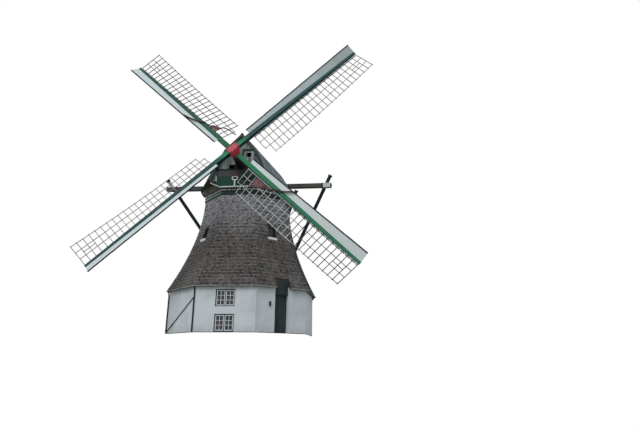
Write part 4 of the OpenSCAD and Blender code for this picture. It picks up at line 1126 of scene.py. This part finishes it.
# %% [markdown]
# ## Hem laths
# A white lath runs along each stock beside the lattice. Every half bar a dark block sits on it,
# painted shade where the stock's side shows dark between the bars. Laths and blocks follow the
# stock as it grows thinner, so one function gives their place at any distance from the hub.

# %% Hem laths and shade blocks
BAR_IN, BAR_PITCH, STOCK_L, SHADE_BLOCK_COUNT = 1.68, 0.4075, 11.5, 48
HEM_OFF, HEM_BACK = 0.035, -0.1  # beside the stock's side and behind its middle


def hem_y(r):
    """The lath's place beside the tapering stock."""
    return -(0.31 + (0.17 - 0.31) * (r - 0.52) / (STOCK_L - 0.52)) / 2 - HEM_OFF


laths, shade_blocks = benches(2)
for k in range(4):
    axes = sail(k)
    laths.block(*(ring(lambda a, b: axes @ Vector((r, hem_y(r) + a, HEM_BACK + b)),
                       -0.028, 0.028, -0.012, 0.012)
                  for r in (BAR_IN - 0.06, STOCK_L - 0.1)), 0.8)
    # painted shade: dark blocks where the stock's side shows dark between the bars
    for i in range(SHADE_BLOCK_COUNT):
        r = BAR_IN + (i + 0.5) * BAR_PITCH / 2
        y = hem_y(r)
        straight(axes, shade_blocks, (r - 0.07, y - 0.072, HEM_BACK - 0.014),
                 (r + 0.07, y - 0.024, HEM_BACK + 0.016))
laths.make("hem_laths", "rotor", FRESH_WHITE, "sailboard")
shade_blocks.make("hem_shade_blocks", "rotor", BOARD_EDGE, "dark_paint")

# %% [markdown]
# ## The furled cloths
# With no wind the miller rolls a sail's cloth up, twists it into a rope over the windboard and
# the stock, and tucks its end into the bars, where it opens again into a pleated flap. The cloth
# is one sheet all the way, so it is drawn as rows of points across it: in the rope a row is wound
# up into a spiral, in the flap it lies flat with pleats, and in between it is part of each.
# Simulating it would need the knots that hold it; rows follow the real folds more closely. The
# left sail's cloth ends in a second thin rope.

# %% Rows of a cloth
CELLS, WINDINGS, PLEATS, CLOTH_T, STATION_ROWS = 28, 1.6, 4, 0.004, 9


def on_bars(x, y):
    """A point just in front of the leaning bars."""
    return at(x, y, 0.327 * y)


def rope(*places, thick=0.06):
    return [(Vector(place), Vector(place), 1.0, thick) for place in places]


def flap(*stations):
    """Stations, each with its two edges on the bars, its roll and its thickness."""
    return [(on_bars(*near), on_bars(*far), roll, thick) for near, far, roll, thick in stations]


CLOTHS = {
    3: rope((5.42, 0.52, 0.37), (5.2, 0.37, 0.34), (4.9, 0.17, 0.25), (4.6, -0.03, 0.2),
            (4.3, -0.15, 0.15), (4.08, -0.22, 0.04), (3.9, -0.27, -0.04))
    + flap(((3.68, -0.2), (3.62, -0.42), 0.4, 0.06), ((3.35, -0.22), (3.2, -0.67), 0.1, 0.06),
           ((3.0, -0.25), (2.8, -0.86), 0.0, 0.06), ((2.62, -0.29), (2.48, -0.98), 0.0, 0.06)),
    1: rope((4.95, 0.53, 0.33), (4.75, 0.47, 0.34), (4.5, 0.41, 0.32), (4.2, 0.29, 0.28),
            (3.9, 0.14, 0.21), (3.62, -0.01, 0.2), (3.44, -0.12, 0.15), (3.33, -0.19, 0.04))
    + flap(((3.26, -0.19), (3.2, -0.33), 0.5, 0.06), ((2.95, -0.22), (2.97, -0.5), 0.1, 0.05),
           ((2.48, -0.27), (2.75, -0.64), 0.0, 0.05), ((2.42, -0.5), (2.62, -0.72), 0.5, 0.05))
    + rope(on_bars(2.45, -0.8), on_bars(2.2, -0.98), on_bars(1.95, -1.05), on_bars(1.6, -1.06),
           on_bars(1.35, -1.12), thick=0.042)}


def curve(values, t):
    """Catmull-Rom curve through values, which may be numbers or points."""
    i = min(int(t), len(values) - 2)
    t -= i
    a, b, c, d = (values[min(max(j, 0), len(values) - 1)] for j in range(i - 1, i + 3))
    return 0.5 * (2 * b + (c - a) * t + (2 * a - 5 * b + 4 * c - d) * t ** 2
                  + (3 * b - a - 3 * c + d) * t ** 3)


def cloth_row(near, far, roll, thick, along, t):
    flank = along.cross(UP).normalized()  # in the sail's axes, UP points to the front
    over = flank.cross(along)
    middle, row = (near + far) / 2, []
    for j in range(CELLS + 1):
        u = j / CELLS
        fold = sin(2 * pi * (PLEATS * u + 0.35 * sin(3 * t))) * 0.03 * (0.5 + u)
        flat_point = near.lerp(far, u) + UP * (fold + 0.01)
        angle, radius = 2 * pi * WINDINGS * u + 1.1 * t, thick * (0.3 + 0.7 * u)
        wound = middle + radius * (cos(angle) * flank + sin(angle) * over)
        row.append(flat_point.lerp(wound, roll))
    return row


def furled_cloth(k, name):
    nears, fars, rolls, thicks = (list(column) for column in zip(*CLOTHS[k]))
    end, rows, faces, shades = len(nears) - 1, [], [], []
    for i in range(end * STATION_ROWS + 1):
        t = i / STATION_ROWS
        ahead = min(t + 0.05, end)
        along = ((curve(nears, ahead) + curve(fars, ahead))
                 - (curve(nears, ahead - 0.1) + curve(fars, ahead - 0.1))).normalized()
        roll = clamp(curve(rolls, t))
        rows.append(cloth_row(curve(nears, t), curve(fars, t), roll, curve(thicks, t), along, t))
        if t < end:
            first, after = i * (CELLS + 1), (i + 1) * (CELLS + 1)
            faces += [(first + j, first + j + 1, after + j + 1, after + j) for j in range(CELLS)]
            shades += [1 - roll] * CELLS
    bench, axes = Bench(), sail(k)
    bench.shape([axes @ p for row in rows for p in row], faces)
    bench.shades = shades
    piece = bench.make(name, "rotor", SAILCLOTH, "cloth", smooth=True)
    area = sum(face.area for face in piece.data.polygons)
    length = sum((a[CELLS // 2] - b[CELLS // 2]).length for a, b in zip(rows, rows[1:]))
    thickness = piece.modifiers.new("cloth thickness", "SOLIDIFY")
    thickness.thickness, thickness.offset = CLOTH_T, 0
    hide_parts("furled_cloths")
    print(name, "area", round(area, 2), "m2, length", round(length, 2), "m")
    return piece


right_cloth = furled_cloth(3, "furled_cloth_right")
left_cloth = furled_cloth(1, "furled_cloth_left")

# %% [markdown]
# ## Floor, sky and sun
# The eye is lower than the floor that the mill stands on. The floor is made see-through to the
# camera from beneath, and only there: from above it is a plain pale floor that takes the mill's
# shadow. A blank sheet under the mill's footprint keeps the camera from looking up at its
# underside. The floor throws back less light than it shows, so that undersides stay dark. A
# cloudy sky lights the mill softly from all sides, and one weak sun from the front left gives the
# forms a little more shape.

# %% Floor
FLOOR = 60
floor = Finish("pale floor", Roughness=0.9)
seen = floor.value("LightPath", output="Is Camera Ray")
tone = floor.mix(seen, (0.14, 0.15, 0.14, 1), (0.8, 0.8, 0.8, 1))
floor.feed(floor.shader.inputs["Base Color"], tone)
below = floor.value("NewGeometry", output="Backfacing")
floor.show(seen * below, floor.shader, floor.node("BsdfTransparent"))

blank = Finish("blank")  # white to the eye and clear to all other light
seen = blank.value("LightPath", output="Is Camera Ray")
blank.show(seen, blank.node("BsdfTransparent"), blank.node("Emission"))


def flat(name, corners, finish):
    mesh = bpy.data.meshes.new(name)
    mesh.from_pydata(corners, [], [range(len(corners))])
    mesh.materials.append(finish)
    add(name, mesh)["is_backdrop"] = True
    print("laid", name)


flat("floor", ring(lambda x, y: (x, y, 0), -FLOOR, FLOOR, -FLOOR, FLOOR), floor.material)
flat("footprint", [on_side(k, WALL_OUT * OCT, WALL_OUT - 0.01, -0.003) for k in range(8)],
     blank.material)

# %% Sky and sun
world = bpy.data.worlds.new("cloudy sky")
SCENE.world = world
world.use_nodes = True
sky = Nodes(world.node_tree)
light = sky.tree.nodes["Background"]
light.inputs["Color"].default_value = (0.93, 0.96, 1.0, 1)
light.inputs["Strength"].default_value = 0.75
white = sky.node("Background", {"Color": (1, 1, 1, 1)})
rays = sky.node("LightPath").outputs
seen = Value(sky, rays["Is Camera Ray"])
for kind in ("Is Glossy Ray", "Is Transmission Ray"):
    seen = seen.reckon("ADD", seen, rays[kind], clamp=True)
sky.show(seen, light, white, "World Output")

sun = add("sun", bpy.data.lights.new("sun", "SUN"))
sun.data.energy, sun.data.angle = 0.9, radians(25)
sun.rotation_euler = (radians(48), 0, radians(-20))
SCENE.view_settings.view_transform = "Standard"
print("sky and sun of", round(sun.data.energy, 2))

# %% [markdown]
# ## Size and finish
# The dressed mill should not be bigger than the carpenter's frame, apart from a little paint.
# Its box is measured and printed.

# %% Size and finish
low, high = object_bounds()
print("dressed box", [round(v, 3) for v in (*low, *high)])
